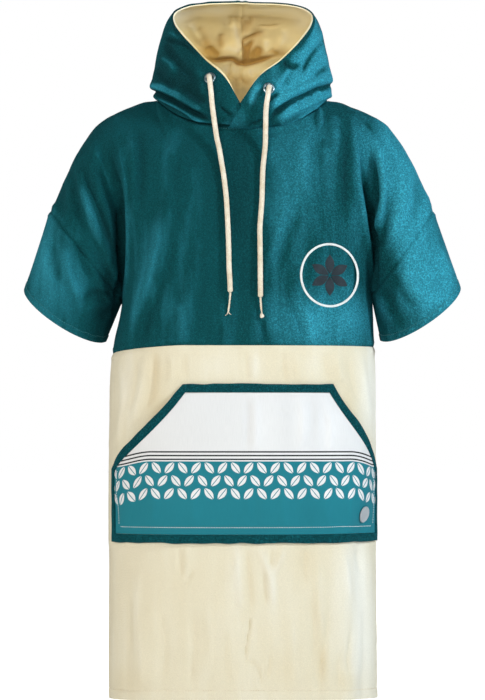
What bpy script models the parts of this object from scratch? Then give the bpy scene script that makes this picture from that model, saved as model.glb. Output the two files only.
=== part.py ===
"""Hooded bath poncho, filled out as if worn, with nobody in it.

Metres, +Z up. The front faces -Y and +X is to the viewer's right. The origin is at the base
of the neck, level with the top of the shoulders, so every height on the garment is a drop
below the origin, apart from the hood, which stands above it.

Each cut and sewn piece is one object. Its wall is made from a surface worked out here, the
outer side, and the same surface moved in by the cloth's thickness.
"""

import math

import bmesh
import bpy
import numpy as np
from mathutils import Vector

GAP = 0.0003
JUST_BEHIND = 1 + 1e-9
TERRY = 0.0025
LINING = 0.0020
WOVEN = 0.0014
BINDING = 0.0030
PATCH_THICKNESS = 0.0014

# Body: half widths and depths of the level section at each drop below the shoulders.
BODY_COLUMNS = ("drop", "left", "right", "front", "back")
BODY = np.array([
    (-0.020, 0.2280, 0.1880, 0.090, 0.094),
    (0.045, 0.2240, 0.1900, 0.100, 0.108),
    (0.100, 0.2120, 0.1970, 0.122, 0.128),
    (0.170, 0.1995, 0.2060, 0.137, 0.139),
    (0.250, 0.1970, 0.2160, 0.145, 0.142),
    (0.338, 0.2035, 0.2220, 0.150, 0.143),
    (0.420, 0.2205, 0.2275, 0.153, 0.146),
    (0.600, 0.2280, 0.2300, 0.160, 0.152),
    (0.800, 0.2290, 0.2305, 0.165, 0.158),
    (1.024, 0.2270, 0.2310, 0.167, 0.162),
])
SQUARENESS_FRONT_LEFT = 2.9
SQUARENESS_FRONT_RIGHT = 2.3
SQUARENESS_BACK = 2.4

# Long soft folds of the body: where they lie round it, from which drop to which, how far they
# lean, how wide they are and how far they stand out (or in, below zero). The columns are
# angle, from_drop, to_drop, lean, half_width and height.
FOLDS = np.array([
    (-52.0, 0.06, 0.26, 3.0, 6.0, -0.007),
    (-45.0, 0.14, 0.33, -6.0, 6.0, 0.006),
    (40.0, 0.10, 0.34, 4.0, 8.0, 0.004),
    (-30.0, 0.24, 0.44, -14.0, 6.0, 0.004),
    (-62.0, 0.42, 0.70, 8.0, 7.0, 0.005),
    (54.0, 0.70, 1.03, 3.0, 6.0, 0.007),
    (66.0, 0.66, 1.03, 2.0, 5.0, -0.006),
    (-8.0, 0.84, 1.03, 3.0, 7.0, 0.004),
    (-48.0, 0.82, 1.03, -4.0, 7.0, 0.005),
    (118.0, 0.20, 1.03, 6.0, 9.0, 0.010),
    (141.0, 0.12, 1.03, -5.0, 8.0, -0.012),
    (158.0, 0.16, 1.03, 4.0, 9.0, 0.011),
    (-166.0, 0.14, 1.03, 5.0, 8.0, -0.010),
    (-146.0, 0.18, 1.03, -4.0, 9.0, 0.012),
    (-121.0, 0.24, 1.03, 3.0, 8.0, -0.009),
])
FOLD_FADE = 0.07

# Seam between the teal upper half and the cream lower half, and the bottom hem.
COLOUR_SEAM_DROP = 0.4217
COLOUR_SEAM_LEFT_SAG = 0.0117
HEM_DROP = 1.0234
HEM_FRONT_RISE = 0.009

# Armpit: the drop where the sleeve leaves the body, and the fold in front of it.
UNDERARM_DROP_LEFT = 0.338
UNDERARM_DROP_RIGHT = 0.330
RIDGE_FRONT = 0.092
RIDGE_BACK = 0.096
RIDGE_FULL_AT = 0.55
SHOULDER_ROUND_FROM = 0.52
VALLEY_FRONT = 0.034
VALLEY_BACK = 0.020
VALLEY_PLACE = 0.20
VALLEY_WIDTH = 0.13
VALLEY_TOP = 0.80
SHOULDER_BLEND_FROM = 0.45

# Top of the shoulder and outside of the arm, as seen from the front.
SHOULDER_COLUMNS = ("reach", "drop")
SHOULDER = np.array([
    (0.148, -0.002),
    (0.168, 0.001),
    (0.191, 0.010),
    (0.217, 0.021),
    (0.236, 0.032),
    (0.250, 0.043),
    (0.262, 0.057),
    (0.275, 0.076),
    (0.290, 0.102),
    (0.309, 0.143),
    (0.328, 0.187),
])
OVERARM_REACH = 0.328

# Edges of the sleeve: reach and drop of the outer end, how far the edge bows down between its
# ends, and its depths in front and behind. Then the inner ends of the cuffs.
ARMHOLE = (0.328, 0.187, 0.004, 0.094, 0.096)
CUFF_LEFT = (0.373, 0.318, 0.023, 0.080, 0.078)
CUFF_RIGHT = (0.374, 0.314, 0.023, 0.080, 0.078)
CUFF_INNER_LEFT = (0.2340, 0.4110)
CUFF_INNER_RIGHT = (0.2380, 0.4095)
BACK_BOW = 0.5
ARM_FULLNESS = 0.88
SLEEVE_FULLNESS = 0.004

# Neck seam: half width, depths in front and behind, and its heights.
NECK_HALF_WIDTH = 0.148
NECK_FRONT = 0.094
NECK_BACK = 0.084
NECK_FRONT_DROP = 0.049
NECK_SIDE_RISE = 0.002
NECK_BACK_RISE = 0.010
NECK_SHARE = 0.62
NECK_SQUARENESS = 2.2
NECK_FRONT_FLATNESS = 3.2

# Hood: for each angle round the neck, the edge of the face opening on both sides, and how the
# cloth leaves the neck seam (out and up) and the opening's edge (across, back and up).
HOOD_COLUMNS = (
    "angle", "edge_right", "edge_left", "edge_y", "edge_z",
    "root_out", "root_up", "tip_across", "tip_back", "tip_up",
)
HOOD = np.array([
    (0.0, 0.000, 0.000, -0.110, -0.0177, 0.016, 0.006, 0.000, -0.008, -0.012),
    (25.0, 0.031, -0.029, -0.100, 0.0320, 0.026, 0.012, 0.014, -0.008, -0.022),
    (50.0, 0.068, -0.063, -0.084, 0.0640, 0.034, 0.022, 0.026, 0.004, -0.030),
    (75.0, 0.098, -0.091, -0.064, 0.0960, 0.028, 0.036, 0.030, 0.026, -0.030),
    (100.0, 0.119, -0.115, -0.040, 0.1280, 0.022, 0.046, 0.022, 0.054, -0.014),
    (122.0, 0.119, -0.116, -0.020, 0.1500, 0.030, 0.050, 0.020, 0.078, 0.010),
    (150.0, 0.084, -0.080, -0.008, 0.1665, 0.054, 0.056, 0.024, 0.106, 0.020),
    (180.0, 0.000, 0.000, -0.002, 0.1715, 0.070, 0.060, 0.000, 0.118, 0.025),
])
LAP_OVER_ANGLE = 7.5
LAP_UNDER_ANGLE = 15.0
LAP_LIFT = 0.0078
LAP_FADE_FROM = 18.0
LAP_FADE_TO = 50.0
SEAM_TILT_FRONT = 25.0
SEAM_TILT_SIDE = 45.0
LINING_FOLD_HEIGHT = 0.011
LINING_FOLD_AT = 0.36
LINING_FOLD_WIDTH = 0.10
LINING_FOLD_ANGLES = (95, 150)

# Kangaroo pocket, laid out flat: widths, heights and how far it sits off the centre.
POCKET_TOP_WIDTH = 0.262
POCKET_TOP_CENTRE = 0.028
POCKET_WIDTH = 0.524
POCKET_CENTRE = 0.017
POCKET_TOP_DROP = 0.487
POCKET_CORNER_DROP = 0.630
POCKET_BOTTOM_DROP = 0.753
POCKET_BORDER = 0.0140
POCKET_MOUTH_SAG = 0.012
POCKET_MOUTHS = {0: -1.0, 4: 1.0}
POCKET_BULGE = 0.012
POCKET_SEWN_MARGIN = 0.080
POCKET_CLEARANCE = 0.0017
PATCH_CLEARANCE = 0.0013
PATCH_RADIUS = 0.014
PATCH_PLACE = (0.218, 0.7060)

# Eyelets: where they sit on the hood (angle round the neck, height up the cloth, lift that
# clears its mesh), and the ring's
# section, radius and height, from its inner crown down its outer side and up its bore.
EYELET_LEFT_PLACE = (-34.8, 0.825, 0.0001)
EYELET_RIGHT_PLACE = (24.5, 0.738, -0.0011)
EYELET_BORE = 0.0053
EYELET_OUTER = 0.0100
EYELET_HEIGHT = 0.0022
EYELET_SECTION = [
    (EYELET_BORE + 0.0012, EYELET_HEIGHT),
    (EYELET_OUTER - 0.0016, EYELET_HEIGHT * 0.86),
    (EYELET_OUTER - 0.0004, EYELET_HEIGHT * 0.45),
    (EYELET_OUTER, 0.0),
    (EYELET_BORE, 0.0),
    (EYELET_BORE, EYELET_HEIGHT * 0.60),
    (EYELET_BORE + 0.0004, EYELET_HEIGHT * 0.88),
]

# Drawstring: each end leaves its eyelet, turns down and lies on the chest.
CORD_RADIUS = 0.0043
CORD_STEP = 0.0115
CORD_LEFT_ROUTE = [
    (-0.0545, -0.0979, 0.0315), (-0.0551, -0.1003, 0.0322), (-0.0555, -0.1107, 0.0322),
    (-0.0545, -0.1192, 0.0258), (-0.0533, -0.1224, 0.0158), (-0.0520, -0.1215, 0.0040),
    (-0.0505, -0.1182, -0.0129), (-0.0480, -0.1166, -0.0331), (-0.0456, -0.1168, -0.0507),
    (-0.0421, -0.1190, -0.0734), (-0.0382, -0.1227, -0.0910), (-0.0344, -0.1281, -0.1136),
    (-0.0305, -0.1349, -0.1377), (-0.0280, -0.1395, -0.1582), (-0.0261, -0.1432, -0.1769),
    (-0.0244, -0.1463, -0.2055), (-0.0229, -0.1491, -0.2375), (-0.0221, -0.1512, -0.2661),
    (-0.0214, -0.1529, -0.2946), (-0.0202, -0.1539, -0.3147), (-0.0196, -0.1547, -0.3331),
]
CORD_RIGHT_ROUTE = [
    (0.0450, -0.1112, 0.0122), (0.0454, -0.1140, 0.0129), (0.0457, -0.1242, 0.0124),
    (0.0448, -0.1320, 0.0061), (0.0435, -0.1350, -0.0034), (0.0415, -0.1330, -0.0150),
    (0.0402, -0.1278, -0.0300), (0.0399, -0.1236, -0.0469), (0.0396, -0.1216, -0.0646),
    (0.0392, -0.1218, -0.0839), (0.0373, -0.1248, -0.1032), (0.0353, -0.1304, -0.1222),
    (0.0342, -0.1376, -0.1496), (0.0335, -0.1426, -0.1768), (0.0318, -0.1452, -0.2005),
    (0.0301, -0.1475, -0.2240), (0.0301, -0.1492, -0.2459), (0.0304, -0.1505, -0.2660),
    (0.0306, -0.1521, -0.2929), (0.0308, -0.1533, -0.3180), (0.0309, -0.1543, -0.3415),
]

# Tails: thin strings past the cords' ends, with a radius at each point. One is frayed, the
# other ends in a knot.
TAIL_STEP = 0.0022
TAIL_LEFT_ROUTE = [
    (-0.0196, -0.1547, -0.3336), (-0.0200, -0.1545, -0.3420), (-0.0212, -0.1534, -0.3530),
    (-0.0224, -0.1530, -0.3616), (-0.0232, -0.1530, -0.3665),
]
TAIL_LEFT_RADII = [0.0017, 0.0015, 0.0014, 0.0015, 0.0011]
TAIL_RIGHT_ROUTE = [
    (0.0309, -0.1543, -0.3420), (0.0312, -0.1540, -0.3500), (0.0319, -0.1538, -0.3600),
    (0.0330, -0.1540, -0.3685), (0.0332, -0.1544, -0.3710), (0.0334, -0.1546, -0.3732),
    (0.0335, -0.1545, -0.3753), (0.0336, -0.1544, -0.3764),
]
TAIL_RIGHT_RADII = [0.0017, 0.0015, 0.0014, 0.0014, 0.0029, 0.0034, 0.0028, 0.0013]

# Where the rows and columns lie along seams that two pieces share, so that their edges match.
NECK_STEPS = 6
SIDE_STEPS = 5
MOUTH_STEPS = 8
POCKET_STEPS = (MOUTH_STEPS, SIDE_STEPS, 24, SIDE_STEPS, MOUTH_STEPS, 12)
ARM_STEPS = np.array([0.0, 0.06, 0.14, 0.23, 0.33, 0.43, 0.53, 0.63, 0.72, 0.80, 0.88, 0.95, 1.0])

TEAL = (0.012, 0.115, 0.125, 1.0)
CREAM = (0.80, 0.68, 0.50, 1.0)
LINING_CREAM = (0.72, 0.56, 0.33, 1.0)
WHITE = (0.82, 0.84, 0.84, 1.0)
CORD_CREAM = (0.78, 0.68, 0.52, 1.0)
GREY = (0.45, 0.46, 0.47, 1.0)
STEEL = (0.42, 0.50, 0.55, 1.0)


def smooth(at, knots, values):
    """Smooth curve through the rows of a table: cubic pieces, slopes from the rows beside."""
    slopes = np.gradient(values, knots)
    at = np.clip(at, knots[0], knots[-1])
    row = np.clip(np.searchsorted(knots, at, side="right") - 1, 0, len(knots) - 2)
    span = knots[row + 1] - knots[row]
    t = (at - knots[row]) / span
    start = values[row] * (1 + 2 * t) * (1 - t) ** 2 + slopes[row] * span * t * (1 - t) ** 2
    end = values[row + 1] * t * t * (3 - 2 * t) + slopes[row + 1] * span * t * t * (t - 1)
    return start + end


def table(rows, columns, name, at):
    """One named column of a table, read smoothly at places given in its first column."""
    return smooth(at, rows[:, 0], rows[:, columns.index(name)])


def step(low, high, at):
    """0 below low, 1 above high, smooth between."""
    t = np.clip((at - low) / (high - low), 0.0, 1.0)
    return t * t * (3 - 2 * t)


def unit(vectors):
    return vectors / np.maximum(np.linalg.norm(vectors, axis=-1, keepdims=True), 1e-12)


def fold_height(angle, drop):
    """How far the long folds push the body's surface out at this angle (degrees) and drop."""
    total = np.zeros(np.broadcast(angle, drop).shape)
    for centre, start, end, lean, half_width, height in FOLDS:
        along = np.clip((drop - start) / (end - start), 0.0, 1.0)
        window = step(start, start + FOLD_FADE, drop)
        if end < HEM_DROP:
            window = window * (1 - step(end - FOLD_FADE / 2, end, drop))
        across = (angle - centre - lean * (along - 0.5)) / half_width
        total = total + height * window * np.exp(-across ** 2)
    return total


def ridge(drop, left, back):
    """Depth of the armpit fold's edge at each drop: none at the underarm, full above it."""
    underarm = np.where(left, UNDERARM_DROP_LEFT, UNDERARM_DROP_RIGHT)
    height = np.clip((underarm - drop) / (RIDGE_FULL_AT * underarm), 0.0, 1.0)
    full = np.where(back, RIDGE_BACK, RIDGE_FRONT)
    return full * np.sin(height * math.pi / 2) ** 0.8


def body(share, drop, back):
    """Level section of the body. share runs from -1, the left edge, to 1, the right edge.

    Each quarter is a superellipse, widened above the underarm so that it meets the edge of
    the armpit fold instead of closing at the side seam.
    """
    share, drop = np.broadcast_arrays(share, drop)
    left = share < 0
    widths = [table(BODY, BODY_COLUMNS, name, drop) for name in ("left", "right")]
    width = np.where(left, *widths)
    depth = table(BODY, BODY_COLUMNS, "back" if back else "front", drop)
    front_power = np.where(left, SQUARENESS_FRONT_LEFT, SQUARENESS_FRONT_RIGHT)
    power = np.full(share.shape, SQUARENESS_BACK) if back else front_power
    edge = ridge(drop, left, back)
    widened = width / (1 - (edge / depth) ** power) ** (1 / power)
    angle = share * np.arctan2(width, edge)
    across, along = np.abs(np.sin(angle)), np.abs(np.cos(angle))
    radius = ((across / widened) ** power + (along / depth) ** power) ** (-1 / power)
    turn = np.degrees(angle)
    bearing = np.where(back, np.sign(turn + 1e-9) * 180.0 - turn, turn)
    away_from_seam = np.cos(np.clip(share, -1, 1) * math.pi / 2) ** 0.25
    radius = radius + fold_height(bearing, drop) * away_from_seam
    y = radius * np.cos(angle) * (1 if back else -1)
    return np.stack([radius * np.sin(angle), y, -drop], axis=-1)


def neck(angle):
    """The neck seam. angle is in degrees round from the front, to the viewer's right."""
    turn = np.radians(angle)
    front = np.cos(turn) > 0
    depth = np.where(front, NECK_FRONT, NECK_BACK)
    power = 2 / NECK_SQUARENESS
    x = NECK_HALF_WIDTH * np.sign(np.sin(turn)) * np.abs(np.sin(turn)) ** power
    y = -depth * np.sign(np.cos(turn)) * np.abs(np.cos(turn)) ** power
    side = np.abs(x / NECK_HALF_WIDTH)
    middle = np.where(front, -NECK_FRONT_DROP, NECK_BACK_RISE)
    climb = np.where(front, side ** NECK_FRONT_FLATNESS, side ** 2)
    z = middle + (NECK_SIDE_RISE - middle) * climb
    return np.stack([x, y, z], axis=-1)


def seam_angle(share, back):
    """Angle round the neck seam of each column of the chest or back that runs up to it."""
    angle = np.clip(np.abs(share) / NECK_SHARE, 0, 1) * 90.0
    return (180.0 - angle if back else angle) * np.where(share < 0, -1.0, 1.0)


def neck_outward(angle):
    """Outward direction that the cloth on both sides of the neck seam shares."""
    turn = np.radians(angle)
    tilt = np.radians(SEAM_TILT_FRONT + (SEAM_TILT_SIDE - SEAM_TILT_FRONT) * np.sin(turn) ** 2)
    flat = np.cos(tilt)
    return np.stack([flat * np.sin(turn), -flat * np.cos(turn), np.sin(tilt)], axis=-1)


def shoulder_drop(reach):
    return table(SHOULDER, SHOULDER_COLUMNS, "drop", reach)


def fold_top(left):
    """Reach of the armpit fold where it fades out on top of the shoulder."""
    return np.where(left, BODY[0, 1], BODY[0, 2])


def underarm_drop(share):
    """Drop of the line between the underarms, at shares from -1 to 1 across it."""
    return UNDERARM_DROP_RIGHT + (UNDERARM_DROP_LEFT - UNDERARM_DROP_RIGHT) * (1 - share) / 2


def torso(share, height, back):
    """Chest or back between the armpit folds. height runs from 0, underarm, to 1, the top edge."""
    share, height = np.broadcast_arrays(share, height)
    left = share < 0
    size = np.abs(share)
    rise = (1 - np.cos(math.pi * height)) / 2
    underarm = underarm_drop(share)
    seam = neck(seam_angle(share, back))
    over = np.clip((size - NECK_SHARE) / (1 - NECK_SHARE), 0, 1)
    reach = NECK_HALF_WIDTH + (fold_top(left) - NECK_HALF_WIDTH) * over
    on_shoulder = size > NECK_SHARE
    top_x = np.where(on_shoulder, reach * np.where(left, -1.0, 1.0), seam[..., 0])
    top_y = np.where(on_shoulder, 0.0, seam[..., 1])
    top_drop = np.where(on_shoulder, shoulder_drop(reach), -seam[..., 2])
    drop = underarm + (top_drop - underarm) * rise
    below = body(share, drop, back)
    blend = step(SHOULDER_BLEND_FROM, 1.0, rise)
    over_top = np.clip((rise - SHOULDER_ROUND_FROM) / (1 - SHOULDER_ROUND_FROM), 0, 1)
    rounded = np.sqrt(1 - over_top ** 2)
    x = below[..., 0] * (1 - blend) + top_x * blend
    y = top_y + (below[..., 1] - top_y) * rounded
    return np.stack([x, y, -drop], axis=-1)


def ring(end_outer, end_inner, bow, front, back, around, left):
    """Edge of a sleeve. around: 0 is the inner end, 1 the outer end, reached in front, then on to 2."""
    outer = np.array([end_outer[0], -end_outer[1]])
    inner = np.array([end_inner[0], -end_inner[1]])
    centre, half = (outer + inner) / 2, (outer - inner) / 2
    down = np.array([half[1], -half[0]]) / np.linalg.norm(half)
    turn = math.pi * (1 - around)
    behind = around > 1
    swing = np.abs(np.sin(turn))
    bowed = bow * swing * np.where(behind, BACK_BOW, 1.0)
    flat = centre + half * np.cos(turn)[..., None] + down * bowed[..., None]
    y = swing ** ARM_FULLNESS * np.where(behind, back, -front)
    return np.stack([flat[..., 0] * (-1 if left else 1), y, flat[..., 1]], axis=-1)


def underarm_point(left):
    drop = UNDERARM_DROP_LEFT if left else UNDERARM_DROP_RIGHT
    return float(table(BODY, BODY_COLUMNS, "left" if left else "right", drop)), drop


def armhole(around, left):
    outer_x, outer_drop, bow, front, back = ARMHOLE
    return ring((outer_x, outer_drop), underarm_point(left), bow, front, back, around, left)


def cuff(around, left):
    outer_x, outer_drop, bow, front, back = CUFF_LEFT if left else CUFF_RIGHT
    inner = CUFF_INNER_LEFT if left else CUFF_INNER_RIGHT
    return ring((outer_x, outer_drop), inner, bow, front, back, around, left)


def shoulder_patch(share, height, back, left):
    """Cloth from the armpit fold, share 0, out to the drop-shoulder seam, share 1."""
    share, height = np.broadcast_arrays(share, height)
    sign = -1.0 if left else 1.0
    fold = torso(np.full(share.shape, sign), height, back)
    around = np.where(back, 2 - height, height)
    seam = armhole(around, left)
    start = float(fold_top(left))
    reach = start + (OVERARM_REACH - start) * share
    straight = shoulder_drop(start) + (ARMHOLE[1] - shoulder_drop(start)) * share
    rise = (1 - np.cos(math.pi * height)) / 2
    points = fold + (seam - fold) * share[..., None]
    points[..., 2] -= rise ** 1.5 * (shoulder_drop(reach) - straight)
    upward = np.sin(math.pi * np.clip(height / VALLEY_TOP, 0, 1)) ** 1.2
    across = np.exp(-((share - VALLEY_PLACE) / VALLEY_WIDTH) ** 2)
    across = across - math.exp(-(VALLEY_PLACE / VALLEY_WIDTH) ** 2)
    hollow = (VALLEY_BACK if back else VALLEY_FRONT) * upward * np.clip(across, 0, None) * (1 - share)
    points[..., 1] += -hollow if back else hollow
    return points


def sleeve(share, around, left):
    """Sleeve from the drop-shoulder seam, share 0, to the cuff, share 1."""
    share, around = np.broadcast_arrays(share, around)
    start, end = armhole(around, left), cuff(around, left)
    points = start + (end - start) * share[..., None]
    fuller = SLEEVE_FULLNESS * np.sin(math.pi * share) * np.sin(math.pi * (around % 1.0))
    points[..., 1] += np.where(around > 1, fuller, -fuller)
    return points


def upper(column, around):
    """The whole upper garment. column: -3 to -2 left sleeve, -1 to 1 chest, 2 to 3 right sleeve.

    around: 0 is the underarm, 1 the top edge in front, and from there on to 2 down the back.
    """
    column, around = np.broadcast_arrays(column, around)
    size = np.abs(column)
    result = np.zeros(column.shape + (3,))
    for back in (False, True):
        height = np.where(back, 2 - around, around)
        here = (around > 1) == back
        in_torso = here & (size <= 1)
        result[in_torso] = torso(column[in_torso], height[in_torso], back)
        for left in (False, True):
            side = here & ((column < 0) == left)
            patch = side & (size > 1) & (size <= 2)
            result[patch] = shoulder_patch(size[patch] - 1, height[patch], back, left)
            tube = side & (size > 2)
            result[tube] = sleeve(size[tube] - 2, around[tube], left)
    return result


def upper_outward(column, around, back):
    """Outward direction on the upper garment, shared by the pieces on both sides of a seam."""
    small = 1e-3
    column, around = np.broadcast_arrays(column, around)
    size = np.abs(column)
    low, high = around - small, around + small
    open_neck = size < NECK_SHARE
    low = np.where(open_neck & back, np.maximum(low, JUST_BEHIND), low)
    high = np.where(open_neck & (not back), np.minimum(high, 1), high)
    tube = size > 1
    low = np.where(tube, low % 2.0, np.maximum(low, 0))
    high = np.where(tube, high % 2.0, np.minimum(high, 2))
    left = np.maximum(column - small, -3)
    right = np.minimum(column + small, 3)
    along = upper(right, around) - upper(left, around)
    up = upper(column, high) - upper(column, low)
    return unit(np.cross(along, up))


def colour_seam_drop(share, back):
    """Drop of the seam between the upper and the lower half, lower at the left side seam."""
    sag = COLOUR_SEAM_LEFT_SAG * step(0.35, 1.0, -share)
    return COLOUR_SEAM_DROP + sag + (0.003 if back else 0.0) * np.cos(share * math.pi / 2) ** 2


def hem_drop(share, back):
    rise = HEM_FRONT_RISE * (0.4 if back else 1.0)
    return HEM_DROP - rise * np.cos(share * math.pi / 2) ** 0.8


def body_outward(share, drop, back):
    """Outward direction on the body below the underarm, flat across the side seams."""
    small = 1e-4
    right = body(np.minimum(share + small, 1), drop, back)
    left = body(np.maximum(share - small, -1), drop, back)
    up = body(share, drop - small, back) - body(share, drop + small, back)
    outward = unit(np.cross(right - left, up) * (-1 if back else 1))
    at_side = np.abs(share) > 1 - 1e-6
    outward[at_side, 1] = 0
    return unit(outward)


def hood(angle, height):
    """Outer surface of the hood. angle: degrees round the neck. height: 0 neck seam, 1 opening."""
    angle, height = np.broadcast_arrays(angle, height)
    size = np.abs(angle)
    read = {name: table(HOOD, HOOD_COLUMNS, name, size) for name in HOOD_COLUMNS[1:]}
    left = angle < 0
    sign = np.where(left, -1.0, 1.0)
    root = neck(angle)
    edge_x = np.where(left, read["edge_left"], read["edge_right"])
    edge = np.stack([edge_x, read["edge_y"], read["edge_z"]], axis=-1)
    turn = np.radians(angle)
    out = read["root_out"]
    root_handle = root + np.stack([out * np.sin(turn), -out * np.cos(turn), read["root_up"]], axis=-1)
    from_edge = np.stack([read["tip_across"] * sign, read["tip_back"], read["tip_up"]], axis=-1)
    tip_handle = edge + from_edge
    t = height[..., None]
    return (
        root * (1 - t) ** 3
        + root_handle * 3 * t * (1 - t) ** 2
        + tip_handle * 3 * t * t * (1 - t)
        + edge * t ** 3
    )


def hood_outward(angle, height):
    """Outward direction on the hood: shared with the body at the neck seam, flat at the crown seam."""
    small = 1e-3
    beside = 0.05
    along = hood(np.minimum(angle + beside, 180), height) - hood(np.maximum(angle - beside, -180), height)
    up = hood(angle, np.minimum(height + small, 1)) - hood(angle, np.maximum(height - small, 0))
    outward = unit(np.cross(along, up))
    at_crown = np.abs(angle) > 180 - 1e-6
    outward[at_crown, 0] = 0
    at_neck = height < 1e-6
    outward[at_neck] = neck_outward(angle)[at_neck]
    return unit(outward)


def lap_lift(angle):
    """The right half of the hood lies over the left half at the front neck."""
    return LAP_LIFT * (1 - step(LAP_FADE_FROM, LAP_FADE_TO, angle))


def section_angles(drop):
    """Lengths along the front's level section against its shares, for laying flat cloth on it."""
    shares = np.linspace(-1, 1, 401)
    points = body(shares, np.full(shares.shape, drop), False)
    lengths = np.concatenate([[0], np.cumsum(np.linalg.norm(np.diff(points, axis=0), axis=1))])
    return lengths - np.interp(0.0, shares, lengths), shares


def on_front(across, drop, lift):
    """Point above the lower front, for flat cloth coordinates: across from the centre, and drop."""
    lengths, shares = section_angles((POCKET_TOP_DROP + POCKET_BOTTOM_DROP) / 2)
    share = np.interp(across, lengths, shares)
    outward = body_outward(share, drop, False)
    return body(share, drop, False) + outward * lift[..., None], outward


def pocket_lift(across, drop):
    """How far the pocket stands off the front: nothing where it is sewn, most in the middle."""
    from_top = (drop - POCKET_TOP_DROP) / POCKET_SEWN_MARGIN
    from_bottom = (POCKET_BOTTOM_DROP - drop) / POCKET_SEWN_MARGIN
    from_side = (POCKET_WIDTH / 2 - np.abs(across - POCKET_CENTRE)) / POCKET_SEWN_MARGIN
    free = step(0, 1, from_top) * step(0, 1, from_bottom) * step(0, 1, from_side)
    return POCKET_CLEARANCE + POCKET_BULGE * free


def pocket_corners(inset):
    """Corners of the pocket's outline, moved in by inset, from the top right down and round."""
    top_half, half = POCKET_TOP_WIDTH / 2, POCKET_WIDTH / 2
    corners = np.array([
        (POCKET_TOP_CENTRE + top_half, POCKET_TOP_DROP),
        (POCKET_CENTRE + half, POCKET_CORNER_DROP),
        (POCKET_CENTRE + half, POCKET_BOTTOM_DROP),
        (POCKET_CENTRE - half, POCKET_BOTTOM_DROP),
        (POCKET_CENTRE - half, POCKET_CORNER_DROP),
        (POCKET_TOP_CENTRE - top_half, POCKET_TOP_DROP),
    ])
    onward = unit(np.roll(corners, -1, axis=0) - corners)
    inward = np.stack([-onward[:, 1], onward[:, 0]], axis=1)
    before = np.roll(inward, 1, axis=0)
    both = 1 + np.sum(inward * before, axis=1, keepdims=True)
    return corners + inset * (inward + before) / both


def pocket_outline(inset):
    """Closed outline of the pocket, moved in by inset. The slanted mouths hang in a little."""
    corners = pocket_corners(inset)
    edges = []
    for number, count in enumerate(POCKET_STEPS):
        share = np.arange(count) / count
        start, end = corners[number], corners[(number + 1) % len(corners)]
        edge = start + (end - start) * share[:, None]
        edge[:, 0] += POCKET_MOUTHS.get(number, 0.0) * POCKET_MOUTH_SAG * np.sin(math.pi * share)
        edges.append(edge)
    return np.concatenate(edges)


def material(name, colour, roughness, metallic=0.0):
    made = bpy.data.materials.new(name)
    made.use_nodes = True
    shader = made.node_tree.nodes["Principled BSDF"]
    shader.inputs["Base Color"].default_value = colour
    shader.inputs["Roughness"].default_value = roughness
    shader.inputs["Metallic"].default_value = metallic
    return made


def triangles(corners):
    """Two triangles for each quad, always split along the same diagonal, so that layers match."""
    a, b, c, d = (corner.ravel() for corner in corners)
    return np.concatenate([np.stack([a, b, c], axis=1), np.stack([a, c, d], axis=1)])


def grid_faces(numbers, flip):
    """Triangles of a grid of point numbers."""
    corners = [numbers[:-1, :-1], numbers[:-1, 1:], numbers[1:, 1:], numbers[1:, :-1]]
    faces = triangles(corners)
    return faces[:, ::-1] if flip else faces


def strip_faces(outer, inner):
    """Triangles that close the edge between two matching runs of points."""
    return triangles([outer[:-1], inner[:-1], inner[1:], outer[1:]])


def wall(name, outer, outward, thickness, finish, collection, closed=False):
    """Cloth between a grid of outer points and the same points moved in by its thickness."""
    inner = outer - outward * thickness
    rows, columns = outer.shape[:2]
    count = rows * columns
    points = np.concatenate([outer.reshape(-1, 3), inner.reshape(-1, 3)])
    numbers = np.arange(count).reshape(rows, columns)
    if closed:
        numbers = np.concatenate([numbers, numbers[:, :1]], axis=1)
    faces = [grid_faces(numbers, False), grid_faces(numbers + count, True)]
    edges = [numbers[0], numbers[-1][::-1]]
    if not closed:
        edges += [numbers[::-1, 0], numbers[:, -1]]
    faces += [strip_faces(edge, edge + count) for edge in edges]
    mesh = bpy.data.meshes.new(name)
    mesh.from_pydata(points.tolist(), [], np.concatenate(faces).tolist())
    shape = bmesh.new()
    shape.from_mesh(mesh)
    bmesh.ops.remove_doubles(shape, verts=shape.verts, dist=2e-5)
    if shape.calc_volume(signed=True) < 0:
        bmesh.ops.reverse_faces(shape, faces=shape.faces)
    shape.to_mesh(mesh)
    shape.free()
    mesh.materials.append(finish)
    mesh.shade_smooth()
    mesh.set_sharp_from_angle(angle=math.radians(50))
    made = bpy.data.objects.new(name, mesh)
    collection.objects.link(made)
    return made


def spread(start, end, count):
    return np.linspace(start, end, count)


def lay(point, outward, lift):
    """Turn and place that stand a turned piece on a surface, this far out from it."""
    normal = Vector(outward)
    return Vector(point) + normal * lift, normal.to_track_quat("Z", "Y")


def upper_columns():
    """Columns of the upper panels: the two shoulder patches and the chest between them."""
    patch = np.array([0.12, 0.26, 0.42, 0.62, 0.82, 1.0])
    below_neck = NECK_SHARE * spread(0, 1, NECK_STEPS + 1)
    below_shoulder = spread(NECK_SHARE, 1, 5)[1:]
    right = np.concatenate([below_neck, below_shoulder, 1 + patch])
    return np.concatenate([-right[:0:-1], right])


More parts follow.
